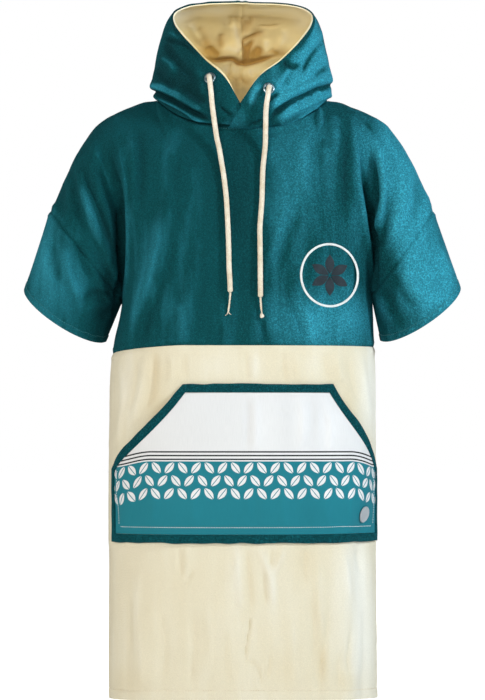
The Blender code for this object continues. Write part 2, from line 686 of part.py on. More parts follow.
def make_upper_panel(name, back, finish, collection):
    """Front or back of the upper half, from drop-shoulder seam to drop-shoulder seam."""
    columns = upper_columns()
    shares = np.clip(columns, -1, 1)
    sleeve_side = np.abs(columns) >= 1
    on_shoulder, at_neck = np.abs(columns) >= NECK_SHARE, np.abs(columns) <= NECK_SHARE
    seam, underarm = colour_seam_drop(shares, back), underarm_drop(shares)
    below_drop = np.array([seam, (seam + underarm) / 2])
    below_share = np.broadcast_to(shares, below_drop.shape)
    around = 2 - ARM_STEPS if back else ARM_STEPS
    column, around = np.meshgrid(columns, around)
    if back:
        around = np.maximum(around, JUST_BEHIND)
    points = np.concatenate([body(below_share, below_drop, back), upper(column, around)])
    outward = upper_outward(column, around, back)
    outward[-1, on_shoulder, 1] = 0
    outward[-1, at_neck] = neck_outward(seam_angle(columns, back))[at_neck]
    outward[0, columns <= -1] = (-1, 0, 0)
    outward[0, columns >= 1] = (1, 0, 0)
    outward = unit(np.concatenate([body_outward(below_share, below_drop, back), outward]))
    side = GAP / 2 if back else -GAP / 2
    points[:3, sleeve_side, 1] = side
    points[-1, on_shoulder, 1] = side
    return wall(name, points, outward, TERRY, finish, collection)


def make_lower_panel(name, back, finish, collection):
    """Front or back of the lower half, from the colour seam to the hem."""
    shares = spread(-1, 1, 27)
    levels = spread(0, 1, 14)[:, None]
    seam, hem = colour_seam_drop(shares, back) + GAP, hem_drop(shares, back)
    drop = seam + (hem - seam) * levels
    share = np.broadcast_to(shares, drop.shape)
    points, outward = body(share, drop, back), body_outward(share, drop, back)
    points[:, [0, -1], 1] = GAP / 2 if back else -GAP / 2
    return wall(name, points[::-1], outward[::-1], TERRY, finish, collection)


def make_sleeve(name, left, finish, collection):
    """Short sleeve, a tube from the drop-shoulder seam to the cuff."""
    around = np.concatenate([ARM_STEPS, 2 - ARM_STEPS[-2:0:-1]])
    shares = np.array([0.0, 0.2, 0.4, 0.6, 0.8, 1.0])
    grid_share, grid_around = np.meshgrid(shares, around, indexing="ij")
    sign = -1 if left else 1
    column = sign * (2 + grid_share)
    column[0] = sign * 2
    outward = upper_outward(column, grid_around, False)
    points = sleeve(grid_share, grid_around, left)
    onward = unit(points[1] - points[0])
    at_underarm = np.abs(np.cos(math.pi * around / 2)) ** 8
    points[0] += onward * (GAP * (1 + 2 * at_underarm))[:, None]
    return wall(name, points, outward, TERRY, finish, collection, closed=True)


def hood_grid(left, inset):
    """Angles and heights of one half of the hood, ending at its own edge of the front lap."""
    heights = np.array([0.0, 0.06, 0.14, 0.24, 0.35, 0.46, 0.57, 0.68, 0.79, 0.90, 1.0])
    onward = -1.0 if left else 1.0
    edge = (LAP_UNDER_ANGLE if left else -LAP_OVER_ANGLE) * (1 - heights)
    beyond = onward * spread(0, 180, 2 * NECK_STEPS + 1)
    angles = np.concatenate([edge[:, None], np.tile(beyond, (len(heights), 1))], axis=1)
    height = np.broadcast_to(heights[:, None], angles.shape)
    points, outward = hood(angles, height), hood_outward(angles, height)
    lift = np.zeros(angles.shape) if left else lap_lift(angles)
    points = points + outward * (lift - inset)[..., None]
    points[0, :, 2] += GAP
    points[:, -1, 0] = (-GAP if left else GAP) / 2
    return angles, height, points, outward


def make_hood_half(name, left, finish, collection):
    _, _, points, outward = hood_grid(left, 0.0)
    return wall(name, points, outward, TERRY, finish, collection)


def make_lining_half(name, left, finish, collection):
    """Lining inside the hood, with the large fold where its upper part sinks over the nape."""
    angles, height, points, outward = hood_grid(left, TERRY + GAP)
    at_back = step(*LINING_FOLD_ANGLES, np.abs(angles))
    rise = np.exp(-((height - LINING_FOLD_AT) / LINING_FOLD_WIDTH) ** 2)
    fold = LINING_FOLD_HEIGHT * at_back * rise
    points = points - outward * fold[..., None]
    points[:, -1, 0] = (-GAP if left else GAP) / 2
    return wall(name, points, outward, LINING, finish, collection)


def make_pocket_border(finish, collection):
    """Terry binding all round the pocket, sewn down but for the slanted mouths."""
    insets = (0.0, POCKET_BORDER / 2, POCKET_BORDER)
    rows = np.array([pocket_outline(inset) for inset in insets])
    lift = pocket_lift(rows[..., 0], rows[..., 1]) + BINDING
    points, outward = on_front(rows[..., 0], rows[..., 1], lift)
    return wall("pocket_border", points, outward, BINDING, finish, collection, closed=True)


def make_pocket_panel(finish, collection):
    """Woven front of the pocket, inside its binding."""
    outline = pocket_outline(POCKET_BORDER + 1.5 * GAP)
    down = MOUTH_STEPS + SIDE_STEPS
    right, left = outline[:down + 1], outline[-POCKET_STEPS[-1]:-POCKET_STEPS[-1] - down - 1:-1]
    share = spread(0, 1, 17)[:, None]
    flat = left[:, None] + (right - left)[:, None] * share
    across, drop = flat[::-1, :, 0], flat[::-1, :, 1]
    points, outward = on_front(across, drop, pocket_lift(across, drop) + WOVEN)
    return wall("pocket_panel", points, outward, WOVEN, finish, collection)


def make_pocket_patch(finish, collection):
    """Round patch on the pocket's lower right corner."""
    radii = np.array([1e-7, 0.5, 1.0])[:, None] * PATCH_RADIUS
    turn = spread(0, 2 * math.pi, 21)[:-1]
    across = PATCH_PLACE[0] + radii * np.sin(turn)
    drop = PATCH_PLACE[1] - radii * np.cos(turn)
    lift = pocket_lift(across, drop) + WOVEN + PATCH_CLEARANCE + PATCH_THICKNESS
    points, outward = on_front(across, drop, lift)
    outward[0] = outward[0, 0]
    points[0] = points[0, 0]
    return wall("pocket_patch", points, outward, PATCH_THICKNESS, finish, collection, closed=True)


def make_eyelet(name, left, place, finish, collection):
    """Ring turned from its section, lying on the hood."""
    mesh = bpy.data.meshes.new(name)
    count = len(EYELET_SECTION)
    points = [(radius, 0.0, height) for radius, height in EYELET_SECTION]
    mesh.from_pydata(points, [(i, (i + 1) % count) for i in range(count)], [])
    made = bpy.data.objects.new(name, mesh)
    collection.objects.link(made)
    turned = made.modifiers.new("Turned", "SCREW")
    turned.steps = turned.render_steps = 32
    turned.use_merge_vertices = True
    turned.merge_threshold = 1e-5
    angle, height, lift = (np.array([value]) for value in place)
    lift = float((lift if left else lift + lap_lift(angle))[0])
    middle, outward = hood(angle, height)[0], hood_outward(angle, height)[0]
    made.location, turn = lay(middle, outward, lift)
    made.rotation_euler = turn.to_euler()
    mesh.materials.append(finish)
    return made


def make_string(name, route, radii, step_length, finish, collection):
    """Cord through a route's points, on one smooth curve, with a radius for each point."""
    route, radii = np.array(route), np.array(radii)
    knots = np.concatenate([[0], np.cumsum(np.linalg.norm(np.diff(route, axis=0), axis=1))])
    at = spread(0, knots[-1], round(knots[-1] / step_length) + 1)
    curve = bpy.data.curves.new(name, "CURVE")
    curve.dimensions = "3D"
    curve.bevel_depth = 1.0
    curve.bevel_resolution = 2
    curve.use_fill_caps = True
    line = curve.splines.new("POLY")
    line.points.add(len(at) - 1)
    axes = [smooth(at, knots, route[:, axis]) for axis in range(3)]
    for point, x, y, z, radius in zip(line.points, *axes, smooth(at, knots, radii)):
        point.co = (x, y, z, 1.0)
        point.radius = radius
    curve.materials.append(finish)
    made = bpy.data.objects.new(name, curve)
    collection.objects.link(made)
    return made


def main():
    for old in list(bpy.data.objects):
        bpy.data.objects.remove(old)
    collection = bpy.data.collections.new("hooded_bath_poncho")
    bpy.context.scene.collection.children.link(collection)
    teal = material("teal_terry", TEAL, 0.95)
    cream = material("cream_terry", CREAM, 0.95)
    lining = material("lining_cream", LINING_CREAM, 0.95)
    woven = material("woven_pocket", WHITE, 0.75)
    grey = material("grey_patch", GREY, 0.5)
    steel = material("eyelet_steel", STEEL, 0.35, metallic=1.0)
    cord = material("drawstring", CORD_CREAM, 0.9)
    make_upper_panel("front_upper", False, teal, collection)
    make_upper_panel("back_upper", True, teal, collection)
    make_lower_panel("front_lower", False, cream, collection)
    make_lower_panel("back_lower", True, cream, collection)
    make_sleeve("sleeve_left", True, teal, collection)
    make_sleeve("sleeve_right", False, teal, collection)
    make_hood_half("hood_left", True, teal, collection)
    make_hood_half("hood_right", False, teal, collection)
    make_lining_half("lining_left", True, lining, collection)
    make_lining_half("lining_right", False, lining, collection)
    make_pocket_border(teal, collection)
    make_pocket_panel(woven, collection)
    make_pocket_patch(grey, collection)
    make_eyelet("eyelet_left", True, EYELET_LEFT_PLACE, steel, collection)
    make_eyelet("eyelet_right", False, EYELET_RIGHT_PLACE, steel, collection)
    for side, route, tail, radii in (
        ("left", CORD_LEFT_ROUTE, TAIL_LEFT_ROUTE, TAIL_LEFT_RADII),
        ("right", CORD_RIGHT_ROUTE, TAIL_RIGHT_ROUTE, TAIL_RIGHT_RADII),
    ):
        even = [CORD_RADIUS] * len(route)
        make_string("cord_" + side, route, even, CORD_STEP, cord, collection)
        make_string("tail_" + side, tail, radii, TAIL_STEP, cord, collection)


main()
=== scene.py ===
"""Hooded bath poncho, filled out as if worn, with nobody in it.

Metres, +Z up, front towards -Y, +X to the viewer's right, origin at the base of the neck. The
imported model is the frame. Each cut piece is worked out again here on a fine grid, from the
same sizes as its solid, and gets its creases, hems, seams, stitches and cloth.
"""

from __future__ import annotations

import logging
import math
from dataclasses import dataclass
from enum import Enum

import bmesh
import bpy
import numpy as np
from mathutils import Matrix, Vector

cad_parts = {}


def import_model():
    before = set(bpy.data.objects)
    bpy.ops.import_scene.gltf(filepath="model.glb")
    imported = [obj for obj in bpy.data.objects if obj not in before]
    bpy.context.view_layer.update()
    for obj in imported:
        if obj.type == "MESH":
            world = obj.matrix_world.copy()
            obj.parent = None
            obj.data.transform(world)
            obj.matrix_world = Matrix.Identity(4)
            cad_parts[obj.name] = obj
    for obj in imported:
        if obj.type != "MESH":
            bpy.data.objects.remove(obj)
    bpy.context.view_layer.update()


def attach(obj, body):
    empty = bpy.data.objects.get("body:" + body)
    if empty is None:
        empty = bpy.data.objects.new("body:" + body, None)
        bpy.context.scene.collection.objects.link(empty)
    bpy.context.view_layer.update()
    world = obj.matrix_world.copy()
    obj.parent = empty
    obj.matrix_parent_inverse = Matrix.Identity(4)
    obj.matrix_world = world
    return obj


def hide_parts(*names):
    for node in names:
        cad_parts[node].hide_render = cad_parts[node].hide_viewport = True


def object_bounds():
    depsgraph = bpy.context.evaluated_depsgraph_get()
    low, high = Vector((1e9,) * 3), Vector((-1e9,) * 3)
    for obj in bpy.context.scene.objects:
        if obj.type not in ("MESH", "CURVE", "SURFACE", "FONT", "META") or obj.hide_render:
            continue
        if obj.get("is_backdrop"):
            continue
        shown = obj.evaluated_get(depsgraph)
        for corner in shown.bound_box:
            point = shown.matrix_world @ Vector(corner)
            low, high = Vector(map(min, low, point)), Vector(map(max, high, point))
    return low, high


Array = np.ndarray
Row = tuple[float, ...]
Rows = tuple[Row, ...]
Colour = tuple[float, float, float]
Point = tuple[float, float, float]
Object, Material, Tree = bpy.types.Object, bpy.types.Material, bpy.types.NodeTree
Node, Socket = bpy.types.Node, bpy.types.NodeSocket
Finishes = dict[str, Material]

LOG = logging.getLogger("poncho")

GAP = 0.0003
JUST_BEHIND = 1 + 1e-9
TERRY_THICK = 0.0025
LINING_THICK = 0.0020
WOVEN_THICK = 0.0014
BINDING_THICK = 0.0030
PATCH_THICK = 0.0014
WHITE = (1.0, 1.0, 1.0, 1.0)


class Hand(Enum):
    """Left or right as the viewer sees it, with the sign of X there."""

    LEFT = -1
    RIGHT = 1

    def piece(self, kind: str) -> str:
        """Name of the piece of this kind on this side."""
        return f"{kind}_{self.name.lower()}"


# ---- Small tools for whole arrays ----


def smooth(at: Array, knots: Array, values: Array) -> Array:
    """Smooth curve through rows of a table: cubic pieces with slopes from the rows beside.

    Args:
        at: Places to read.
        knots: Rising places of the rows.
        values: The rows' values.

    Returns:
        The curve's value at each place.
    """
    slopes = np.gradient(values, knots)
    at = np.clip(at, knots[0], knots[-1])
    row = np.clip(np.searchsorted(knots, at, side="right") - 1, 0, len(knots) - 2)
    span = knots[row + 1] - knots[row]
    t = (at - knots[row]) / span
    start = values[row] * (1 + 2 * t) * (1 - t) ** 2 + slopes[row] * span * t * (1 - t) ** 2
    end = values[row + 1] * t * t * (3 - 2 * t) + slopes[row + 1] * span * t * t * (t - 1)
    return start + end


def table(rows: Rows, columns: tuple[str, ...], name: str, at: Array) -> Array:
    """One named column of a table, read smoothly at places given in its first column."""
    by_column = np.transpose(rows)
    return smooth(at, by_column[0], by_column[columns.index(name)])


def step(low: float, high: float, at: Array) -> Array:
    """0 below low, 1 above high, smooth between."""
    t = np.clip((at - low) / (high - low), 0.0, 1.0)
    return t * t * (3 - 2 * t)


def unit(vectors: Array) -> Array:
    """Vectors scaled to length 1."""
    return vectors / np.maximum(np.linalg.norm(vectors, axis=-1, keepdims=True), 1e-12)


def joined(*parts: Array) -> Array:
    """Parts side by side in a new last axis."""
    return np.stack(parts, axis=-1)


def wander(points: Array, size: Point, seed: int) -> Array:
    """Smooth uneven value from -1 to 1 over space.

    Random values sit on a lattice of boxes of the given size, and each point takes the values
    of its box's eight corners, mixed by a smooth step along each axis.

    Args:
        points: Places, as an array with 3 in its last axis.
        size: The lattice's box.
        seed: Which random values.

    Returns:
        One value for each point.
    """
    cell = points / np.array(size)
    base = np.floor(cell).astype(np.int64)
    t = cell - base
    t = t * t * (3 - 2 * t)
    total = np.zeros(points.shape[:-1])
    for corner in range(8):
        offset = np.array([corner & 1, corner >> 1 & 1, corner >> 2])
        i, j, k = np.moveaxis(base + offset, -1, 0)
        mixed = (i * 73856093) ^ (j * 19349663) ^ (k * 83492791) ^ (seed * 2654435761)
        mixed = (mixed ^ (mixed >> 13)) * 1274126177
        value = ((mixed ^ (mixed >> 16)) & 0xFFFF) / 32767.5 - 1
        share = np.where(offset == 1, t, 1 - t).prod(axis=-1)
        total += value * share
    return total


def spread(start: float, end: float, count: int) -> Array:
    """Even run of places."""
    return np.linspace(start, end, count)


def along(points: Array) -> Array:
    """Length walked at each point of a path."""
    return np.concatenate([[0], np.cumsum(np.linalg.norm(np.diff(points, axis=0), axis=1))])


def resample(values: Array, at: Array, places: Array) -> Array:
    """Rows of values, known at some lengths, read straight between them at other places."""
    return np.stack([np.interp(places, at, values[:, i]) for i in range(values.shape[1])], axis=1)


# ---- Form of the garment: the same sizes and formulas as its solids ----


@dataclass(frozen=True)
class BodyForm:
    """Level sections of the body at each drop below the shoulders.

    Each quarter of a section is a superellipse, widened above the underarm so that it meets
    the edge of the armpit fold. Long soft folds push it in and out.
    """

    columns: tuple[str, ...] = ("drop", "left", "right", "front", "back")
    rows: Rows = (
        (-0.020, 0.2280, 0.1880, 0.090, 0.094),
        (0.045, 0.2240, 0.1900, 0.100, 0.108),
        (0.100, 0.2120, 0.1970, 0.122, 0.128),
        (0.170, 0.1995, 0.2060, 0.137, 0.139),
        (0.250, 0.1970, 0.2160, 0.145, 0.142),
        (0.338, 0.2035, 0.2220, 0.150, 0.143),
        (0.420, 0.2205, 0.2275, 0.153, 0.146),
        (0.600, 0.2280, 0.2300, 0.160, 0.152),
        (0.800, 0.2290, 0.2305, 0.165, 0.158),
        (1.024, 0.2270, 0.2310, 0.167, 0.162),
    )
    squareness_front: tuple[float, float] = (2.9, 2.3)
    squareness_back: float = 2.4
    # Long folds: angle, from_drop, to_drop, lean, half_width, height.
    folds: Rows = (
        (-52.0, 0.06, 0.26, 3.0, 6.0, -0.007),
        (-45.0, 0.14, 0.33, -6.0, 6.0, 0.006),
        (40.0, 0.10, 0.34, 4.0, 8.0, 0.004),
        (-30.0, 0.24, 0.44, -14.0, 6.0, 0.004),
        (-62.0, 0.42, 0.70, 8.0, 7.0, 0.005),
        (54.0, 0.70, 1.03, 3.0, 6.0, 0.007),
        (66.0, 0.66, 1.03, 2.0, 5.0, -0.006),
        (-8.0, 0.84, 1.03, 3.0, 7.0, 0.004),
        (-48.0, 0.82, 1.03, -4.0, 7.0, 0.005),
        (118.0, 0.20, 1.03, 6.0, 9.0, 0.010),
        (141.0, 0.12, 1.03, -5.0, 8.0, -0.012),
        (158.0, 0.16, 1.03, 4.0, 9.0, 0.011),
        (-166.0, 0.14, 1.03, 5.0, 8.0, -0.010),
        (-146.0, 0.18, 1.03, -4.0, 9.0, 0.012),
        (-121.0, 0.24, 1.03, 3.0, 8.0, -0.009),
    )
    fold_fade: float = 0.07
    seam_drop: float = 0.4217
    seam_left_sag: float = 0.0117
    hem_drop: float = 1.0234
    hem_front_rise: float = 0.009
    underarm_left: float = 0.338
    underarm_right: float = 0.330
    ridge_front: float = 0.092
    ridge_back: float = 0.096
    ridge_full_at: float = 0.55

    def fold_height(self, angle: Array, drop: Array) -> Array:
        """How far the long folds push the surface out at this angle (degrees) and drop.

        Each fold is a bell curve across, leaning with the drop, faded at its ends.

        Args:
            angle: Angle round the body, in degrees.
            drop: Drop below the shoulders, in metres.

        Returns:
            Metres outwards.
        """
        total = np.zeros(np.broadcast(angle, drop).shape)
        for centre, start, end, lean, half_width, height in self.folds:
            down = np.clip((drop - start) / (end - start), 0.0, 1.0)
            window = step(start, start + self.fold_fade, drop)
            if end < self.hem_drop:
                window = window * (1 - step(end - self.fold_fade / 2, end, drop))
            across = (angle - centre - lean * (down - 0.5)) / half_width
            total = total + height * window * np.exp(-across ** 2)
        return total

    def ridge(self, drop: Array, left: Array, back: bool) -> Array:
        """Depth of the armpit fold's edge at each drop: none at the underarm, full above it.

        Args:
            drop: Drop below the shoulders, in metres.
            left: Where it is the left side.
            back: Whether it is the back half.

        Returns:
            The depth from the side's middle.
        """
        underarm = np.where(left, self.underarm_left, self.underarm_right)
        height = np.clip((underarm - drop) / (self.ridge_full_at * underarm), 0.0, 1.0)
        full = self.ridge_back if back else self.ridge_front
        return full * np.sin(height * math.pi / 2) ** 0.8

    def section(self, share: Array, drop: Array, back: bool) -> Array:
        """Point of a level section.

        Args:
            share: From -1, the left edge, to 1, the right edge.
            drop: Drop below the shoulders.
            back: Whether it is the back half.

        Returns:
            Points, from the superellipse radius in the direction of each share.
        """
        share, drop = np.broadcast_arrays(share, drop)
        left = share < 0
        widths = [table(self.rows, self.columns, name, drop) for name in ("left", "right")]
        width = np.where(left, *widths)
        depth = table(self.rows, self.columns, "back" if back else "front", drop)
        power = np.where(left, *self.squareness_front)
        power = np.full(share.shape, self.squareness_back) if back else power
        edge = self.ridge(drop, left, back)
        widened = width / (1 - (edge / depth) ** power) ** (1 / power)
        angle = share * np.arctan2(width, edge)
        across, deep = np.abs(np.sin(angle)), np.abs(np.cos(angle))
        radius = ((across / widened) ** power + (deep / depth) ** power) ** (-1 / power)
        turn = np.degrees(angle)
        bearing = np.sign(turn + 1e-9) * 180.0 - turn if back else turn
        from_seam = np.cos(np.clip(share, -1, 1) * math.pi / 2) ** 0.25
        radius = radius + self.fold_height(bearing, drop) * from_seam
        y = radius * np.cos(angle) * (1 if back else -1)
        return joined(radius * np.sin(angle), y, -drop)

    def outward(self, share: Array, drop: Array, back: bool) -> Array:
        """Outward direction on a level section, flat across the side seams.

        Args:
            share: From -1, the left edge, to 1, the right edge.
            drop: Drop below the shoulders, in metres.
            back: Whether it is the back half.

        Returns:
            Unit directions.
        """
        small = 1e-4
        right = self.section(np.minimum(share + small, 1), drop, back)
        left = self.section(np.maximum(share - small, -1), drop, back)
        up = self.section(share, drop - small, back) - self.section(share, drop + small, back)
        outward = unit(np.cross(right - left, up) * (-1 if back else 1))
        outward[np.abs(share) > 1 - 1e-6, 1] = 0
        return unit(outward)

    def underarm(self, share: Array) -> Array:
        """Drop of the line between the underarms."""
        return self.underarm_right + (self.underarm_left - self.underarm_right) * (1 - share) / 2

    def seam(self, share: Array, back: bool) -> Array:
        """Drop of the seam between the teal upper half and the cream lower half."""
        sag = self.seam_left_sag * step(0.35, 1.0, -share)
        lower = 0.003 if back else 0.0
        return self.seam_drop + sag + lower * np.cos(share * math.pi / 2) ** 2

    def hem(self, share: Array, back: bool) -> Array:
        """Drop of the bottom hem, a little higher in the middle."""
        rise = self.hem_front_rise * (0.4 if back else 1.0)
        return self.hem_drop - rise * np.cos(share * math.pi / 2) ** 0.8


@dataclass(frozen=True)
class NeckForm:
    """The neck seam, a superellipse seen from above, lowest in front."""

    half_width: float = 0.148
    front: float = 0.094
    back: float = 0.084
    front_drop: float = 0.049
    side_rise: float = 0.002
    back_rise: float = 0.010
    share: float = 0.62
    squareness: float = 2.2
    flatness: float = 3.2
    tilt_front: float = 25.0
    tilt_side: float = 45.0

    def seam(self, angle: Array) -> Array:
        """Point of the seam at an angle in degrees round from the front, to the right.

        Args:
            angle: Degrees round from the front, to the right.

        Returns:
            Points.
        """
        turn = np.radians(angle)
        front = np.cos(turn) > 0
        depth = np.where(front, self.front, self.back)
        power = 2 / self.squareness
        x = self.half_width * np.sign(np.sin(turn)) * np.abs(np.sin(turn)) ** power
        y = -depth * np.sign(np.cos(turn)) * np.abs(np.cos(turn)) ** power
        side = np.abs(x / self.half_width)
        middle = np.where(front, -self.front_drop, self.back_rise)
        climb = np.where(front, side ** self.flatness, side ** 2)
        return joined(x, y, middle + (self.side_rise - middle) * climb)

    def angle(self, share: Array, back: bool) -> Array:
        """Angle round the seam of each column of the chest or back that runs up to it."""
        angle = np.clip(np.abs(share) / self.share, 0, 1) * 90.0
        return (180.0 - angle if back else angle) * np.where(share < 0, -1.0, 1.0)

    def outward(self, angle: Array) -> Array:
        """Outward direction that the cloth on both sides of the seam shares.

        Args:
            angle: Degrees round from the front, to the right.

        Returns:
            Unit directions.
        """
        turn = np.radians(angle)
        lean = self.tilt_front + (self.tilt_side - self.tilt_front) * np.sin(turn) ** 2
        tilt = np.radians(lean)
        flat = np.cos(tilt)
        return joined(flat * np.sin(turn), -flat * np.cos(turn), np.sin(tilt))


@dataclass(frozen=True)
class UpperForm:
    """Chest, back, shoulders and sleeves as one surface over (column, around).

    column runs from -3, the left cuff, over -1 to 1, the chest, to 3, the right cuff. around
    is 0 at the underarm, 1 along the top, and from there on to 2 down the back.
    """

    body: BodyForm = BodyForm()
    neck: NeckForm = NeckForm()
    # Top of the shoulder and outside of the arm: reach, drop.
    shoulder: Rows = (
        (0.148, -0.002), (0.168, 0.001), (0.191, 0.010), (0.217, 0.021), (0.236, 0.032),
        (0.250, 0.043), (0.262, 0.057), (0.275, 0.076), (0.290, 0.102), (0.309, 0.143),
        (0.328, 0.187),
    )
    overarm_reach: float = 0.328
    armhole_edge: Row = (0.328, 0.187, 0.004, 0.094, 0.096)
    cuff_left: Row = (0.373, 0.318, 0.023, 0.080, 0.078)
    cuff_right: Row = (0.374, 0.314, 0.023, 0.080, 0.078)
    cuff_inner_left: tuple[float, float] = (0.2340, 0.4110)
    cuff_inner_right: tuple[float, float] = (0.2380, 0.4095)
    back_bow: float = 0.5
    fullness: float = 0.88
    sleeve_fullness: float = 0.004
    round_from: float = 0.52
    blend_from: float = 0.45
    valley_front: float = 0.034
    valley_back: float = 0.020
    valley_place: float = 0.20
    valley_width: float = 0.13
    valley_top: float = 0.80

    def shoulder_drop(self, reach: Array) -> Array:
        """Drop of the top of the shoulder and arm at each reach from the middle."""
        return smooth(reach, *np.transpose(self.shoulder))

    def fold_top(self, left: Array) -> Array:
        """Reach of the armpit fold where it fades out on top of the shoulder."""
        return np.where(left, *self.body.rows[0][1:3])

    def torso(self, share: Array, height: Array, back: bool) -> Array:
        """Chest or back between the armpit folds, the body's sections drawn in to the neck.

        Args:
            share: From -1, the left fold, to 1, the right fold.
            height: From 0 at the underarm to 1 on top.
            back: Whether it is the back half.

        Returns:
            Points.
        """
        share, height = np.broadcast_arrays(share, height)
        left, size = share < 0, np.abs(share)
        rise = (1 - np.cos(math.pi * height)) / 2
        underarm = self.body.underarm(share)
        seam = self.neck.seam(self.neck.angle(share, back))
        over = np.clip((size - self.neck.share) / (1 - self.neck.share), 0, 1)
        start = self.neck.half_width
        reach = start + (self.fold_top(left) - start) * over
        on_shoulder = size > self.neck.share
        top_x = np.where(on_shoulder, reach * np.where(left, -1.0, 1.0), seam[..., 0])
        top_y = np.where(on_shoulder, 0.0, seam[..., 1])
        top_drop = np.where(on_shoulder, self.shoulder_drop(reach), -seam[..., 2])
        drop = underarm + (top_drop - underarm) * rise
        below = self.body.section(share, drop, back)
        blend = step(self.blend_from, 1.0, rise)
        over_top = np.clip((rise - self.round_from) / (1 - self.round_from), 0, 1)
        x = below[..., 0] * (1 - blend) + top_x * blend
        y = top_y + (below[..., 1] - top_y) * np.sqrt(1 - over_top ** 2)
        return joined(x, y, -drop)

    def ring(self, edge: Row, inner: tuple[float, float], around: Array,
             hand: Hand) -> Array:
        """Edge of a sleeve: an ellipse between its two ends, bowed down between them.

        Args:
            edge: Outer end's reach and drop, the bow, and the depth in front and behind.
            inner: Inner end's reach and drop.
            around: Place around the arm.
            hand: Which side.

        Returns:
            Points.
        """
        outer_x, outer_drop, bow, front, back = edge
        outer, inner_end = np.array([outer_x, -outer_drop]), np.array([inner[0], -inner[1]])
        centre, half = (outer + inner_end) / 2, (outer - inner_end) / 2
        down = np.array([half[1], -half[0]]) / np.linalg.norm(half)
        turn = math.pi * (1 - around)
        behind = around > 1
        swing = np.abs(np.sin(turn))
        bowed = bow * swing * np.where(behind, self.back_bow, 1.0)
        flat = centre + half * np.cos(turn)[..., None] + down * bowed[..., None]
        y = swing ** self.fullness * np.where(behind, back, -front)
        return joined(flat[..., 0] * hand.value, y, flat[..., 1])

    def armhole(self, around: Array, hand: Hand) -> Array:
        """The drop-shoulder seam.

        Args:
            around: Place around the arm.
            hand: Which side.

        Returns:
            Points.
        """
        left = hand is Hand.LEFT
        drop = self.body.underarm_left if left else self.body.underarm_right
        name = "left" if left else "right"
        reach = float(table(self.body.rows, self.body.columns, name, np.array(drop)))
        return self.ring(self.armhole_edge, (reach, drop), around, hand)

    def cuff(self, around: Array, hand: Hand) -> Array:
        """The sleeve's open end."""
        if hand is Hand.LEFT:
            return self.ring(self.cuff_left, self.cuff_inner_left, around, hand)
        return self.ring(self.cuff_right, self.cuff_inner_right, around, hand)

    def patch(self, share: Array, height: Array, back: bool, hand: Hand) -> Array:
        """Cloth from the armpit fold to the drop-shoulder seam, with a valley.

        Args:
            share: From 0 at the fold to 1 at the seam.
            height: From 0 at the underarm to 1 on top.
            back: Whether it is the back half.
            hand: Which side.

        Returns:
            Points.
        """
        share, height = np.broadcast_arrays(share, height)
        left = hand is Hand.LEFT
        fold = self.torso(np.full(share.shape, float(hand.value)), height, back)
        seam = self.armhole(np.where(back, 2 - height, height), hand)
        start = float(self.fold_top(left))
        reach = start + (self.overarm_reach - start) * share
        first, last = float(self.shoulder_drop(np.array(start))), self.armhole_edge[1]
        straight = first + (last - first) * share
        rise = (1 - np.cos(math.pi * height)) / 2
        points = fold + (seam - fold) * share[..., None]
        points[..., 2] -= rise ** 1.5 * (self.shoulder_drop(reach) - straight)
        upward = np.sin(math.pi * np.clip(height / self.valley_top, 0, 1)) ** 1.2
        across = np.exp(-((share - self.valley_place) / self.valley_width) ** 2)
        across = across - math.exp(-(self.valley_place / self.valley_width) ** 2)
        deep = self.valley_back if back else self.valley_front
        hollow = deep * upward * np.clip(across, 0, None) * (1 - share)
        points[..., 1] += -hollow if back else hollow
        return points

    def sleeve(self, share: Array, around: Array, hand: Hand) -> Array:
        """Sleeve from the drop-shoulder seam to the cuff.

        Args:
            share: From 0 at the seam to 1 at the cuff.
            around: Place around the arm.
            hand: Which side.

        Returns:
            Points.
        """
        share, around = np.broadcast_arrays(share, around)
        start, end = self.armhole(around, hand), self.cuff(around, hand)
        points = start + (end - start) * share[..., None]
        fuller = np.sin(math.pi * share) * np.sin(math.pi * (around % 1.0)) * self.sleeve_fullness
        points[..., 1] += np.where(around > 1, fuller, -fuller)
        return points

    def point(self, column: Array, around: Array) -> Array:
        """Point of the upper garment at each column and place around.

        Args:
            column: Column, from -3 to 3.
            around: Place around, from 0 to 2.

        Returns:
            Points.
        """
        column, around = np.broadcast_arrays(column, around)
        size = np.abs(column)
        result = np.zeros(column.shape + (3,))
        for back in (False, True):
            height = np.where(back, 2 - around, around)
            here = (around > 1) == back
            chest = here & (size <= 1)
            result[chest] = self.torso(column[chest], height[chest], back)
            for hand in Hand:
                side = here & (np.sign(column) == hand.value)
                patch, tube = side & (size > 1) & (size <= 2), side & (size > 2)
                result[patch] = self.patch(size[patch] - 1, height[patch], back, hand)
                result[tube] = self.sleeve(size[tube] - 2, around[tube], hand)
        return result

    def outward(self, column: Array, around: Array, back: bool) -> Array:
        """Outward direction, the same for the pieces on both sides of a seam.

        Args:
            column: Column, from -3 to 3.
            around: Place around, from 0 to 2.
            back: Whether it is the back half.

        Returns:
            Unit directions.
        """
        small = 1e-3
        column, around = np.broadcast_arrays(column, around)
        size = np.abs(column)
        low, high = around - small, around + small
        open_neck, tube = size < self.neck.share, size > 1
        low = np.where(open_neck & back, np.maximum(low, JUST_BEHIND), low)
        high = np.where(open_neck & (not back), np.minimum(high, 1), high)
        low = np.where(tube, low % 2.0, np.maximum(low, 0))
        high = np.where(tube, high % 2.0, np.minimum(high, 2))
        right = self.point(np.minimum(column + small, 3), around)
        left = self.point(np.maximum(column - small, -3), around)
        return unit(np.cross(right - left, self.point(column, high) - self.point(column, low)))


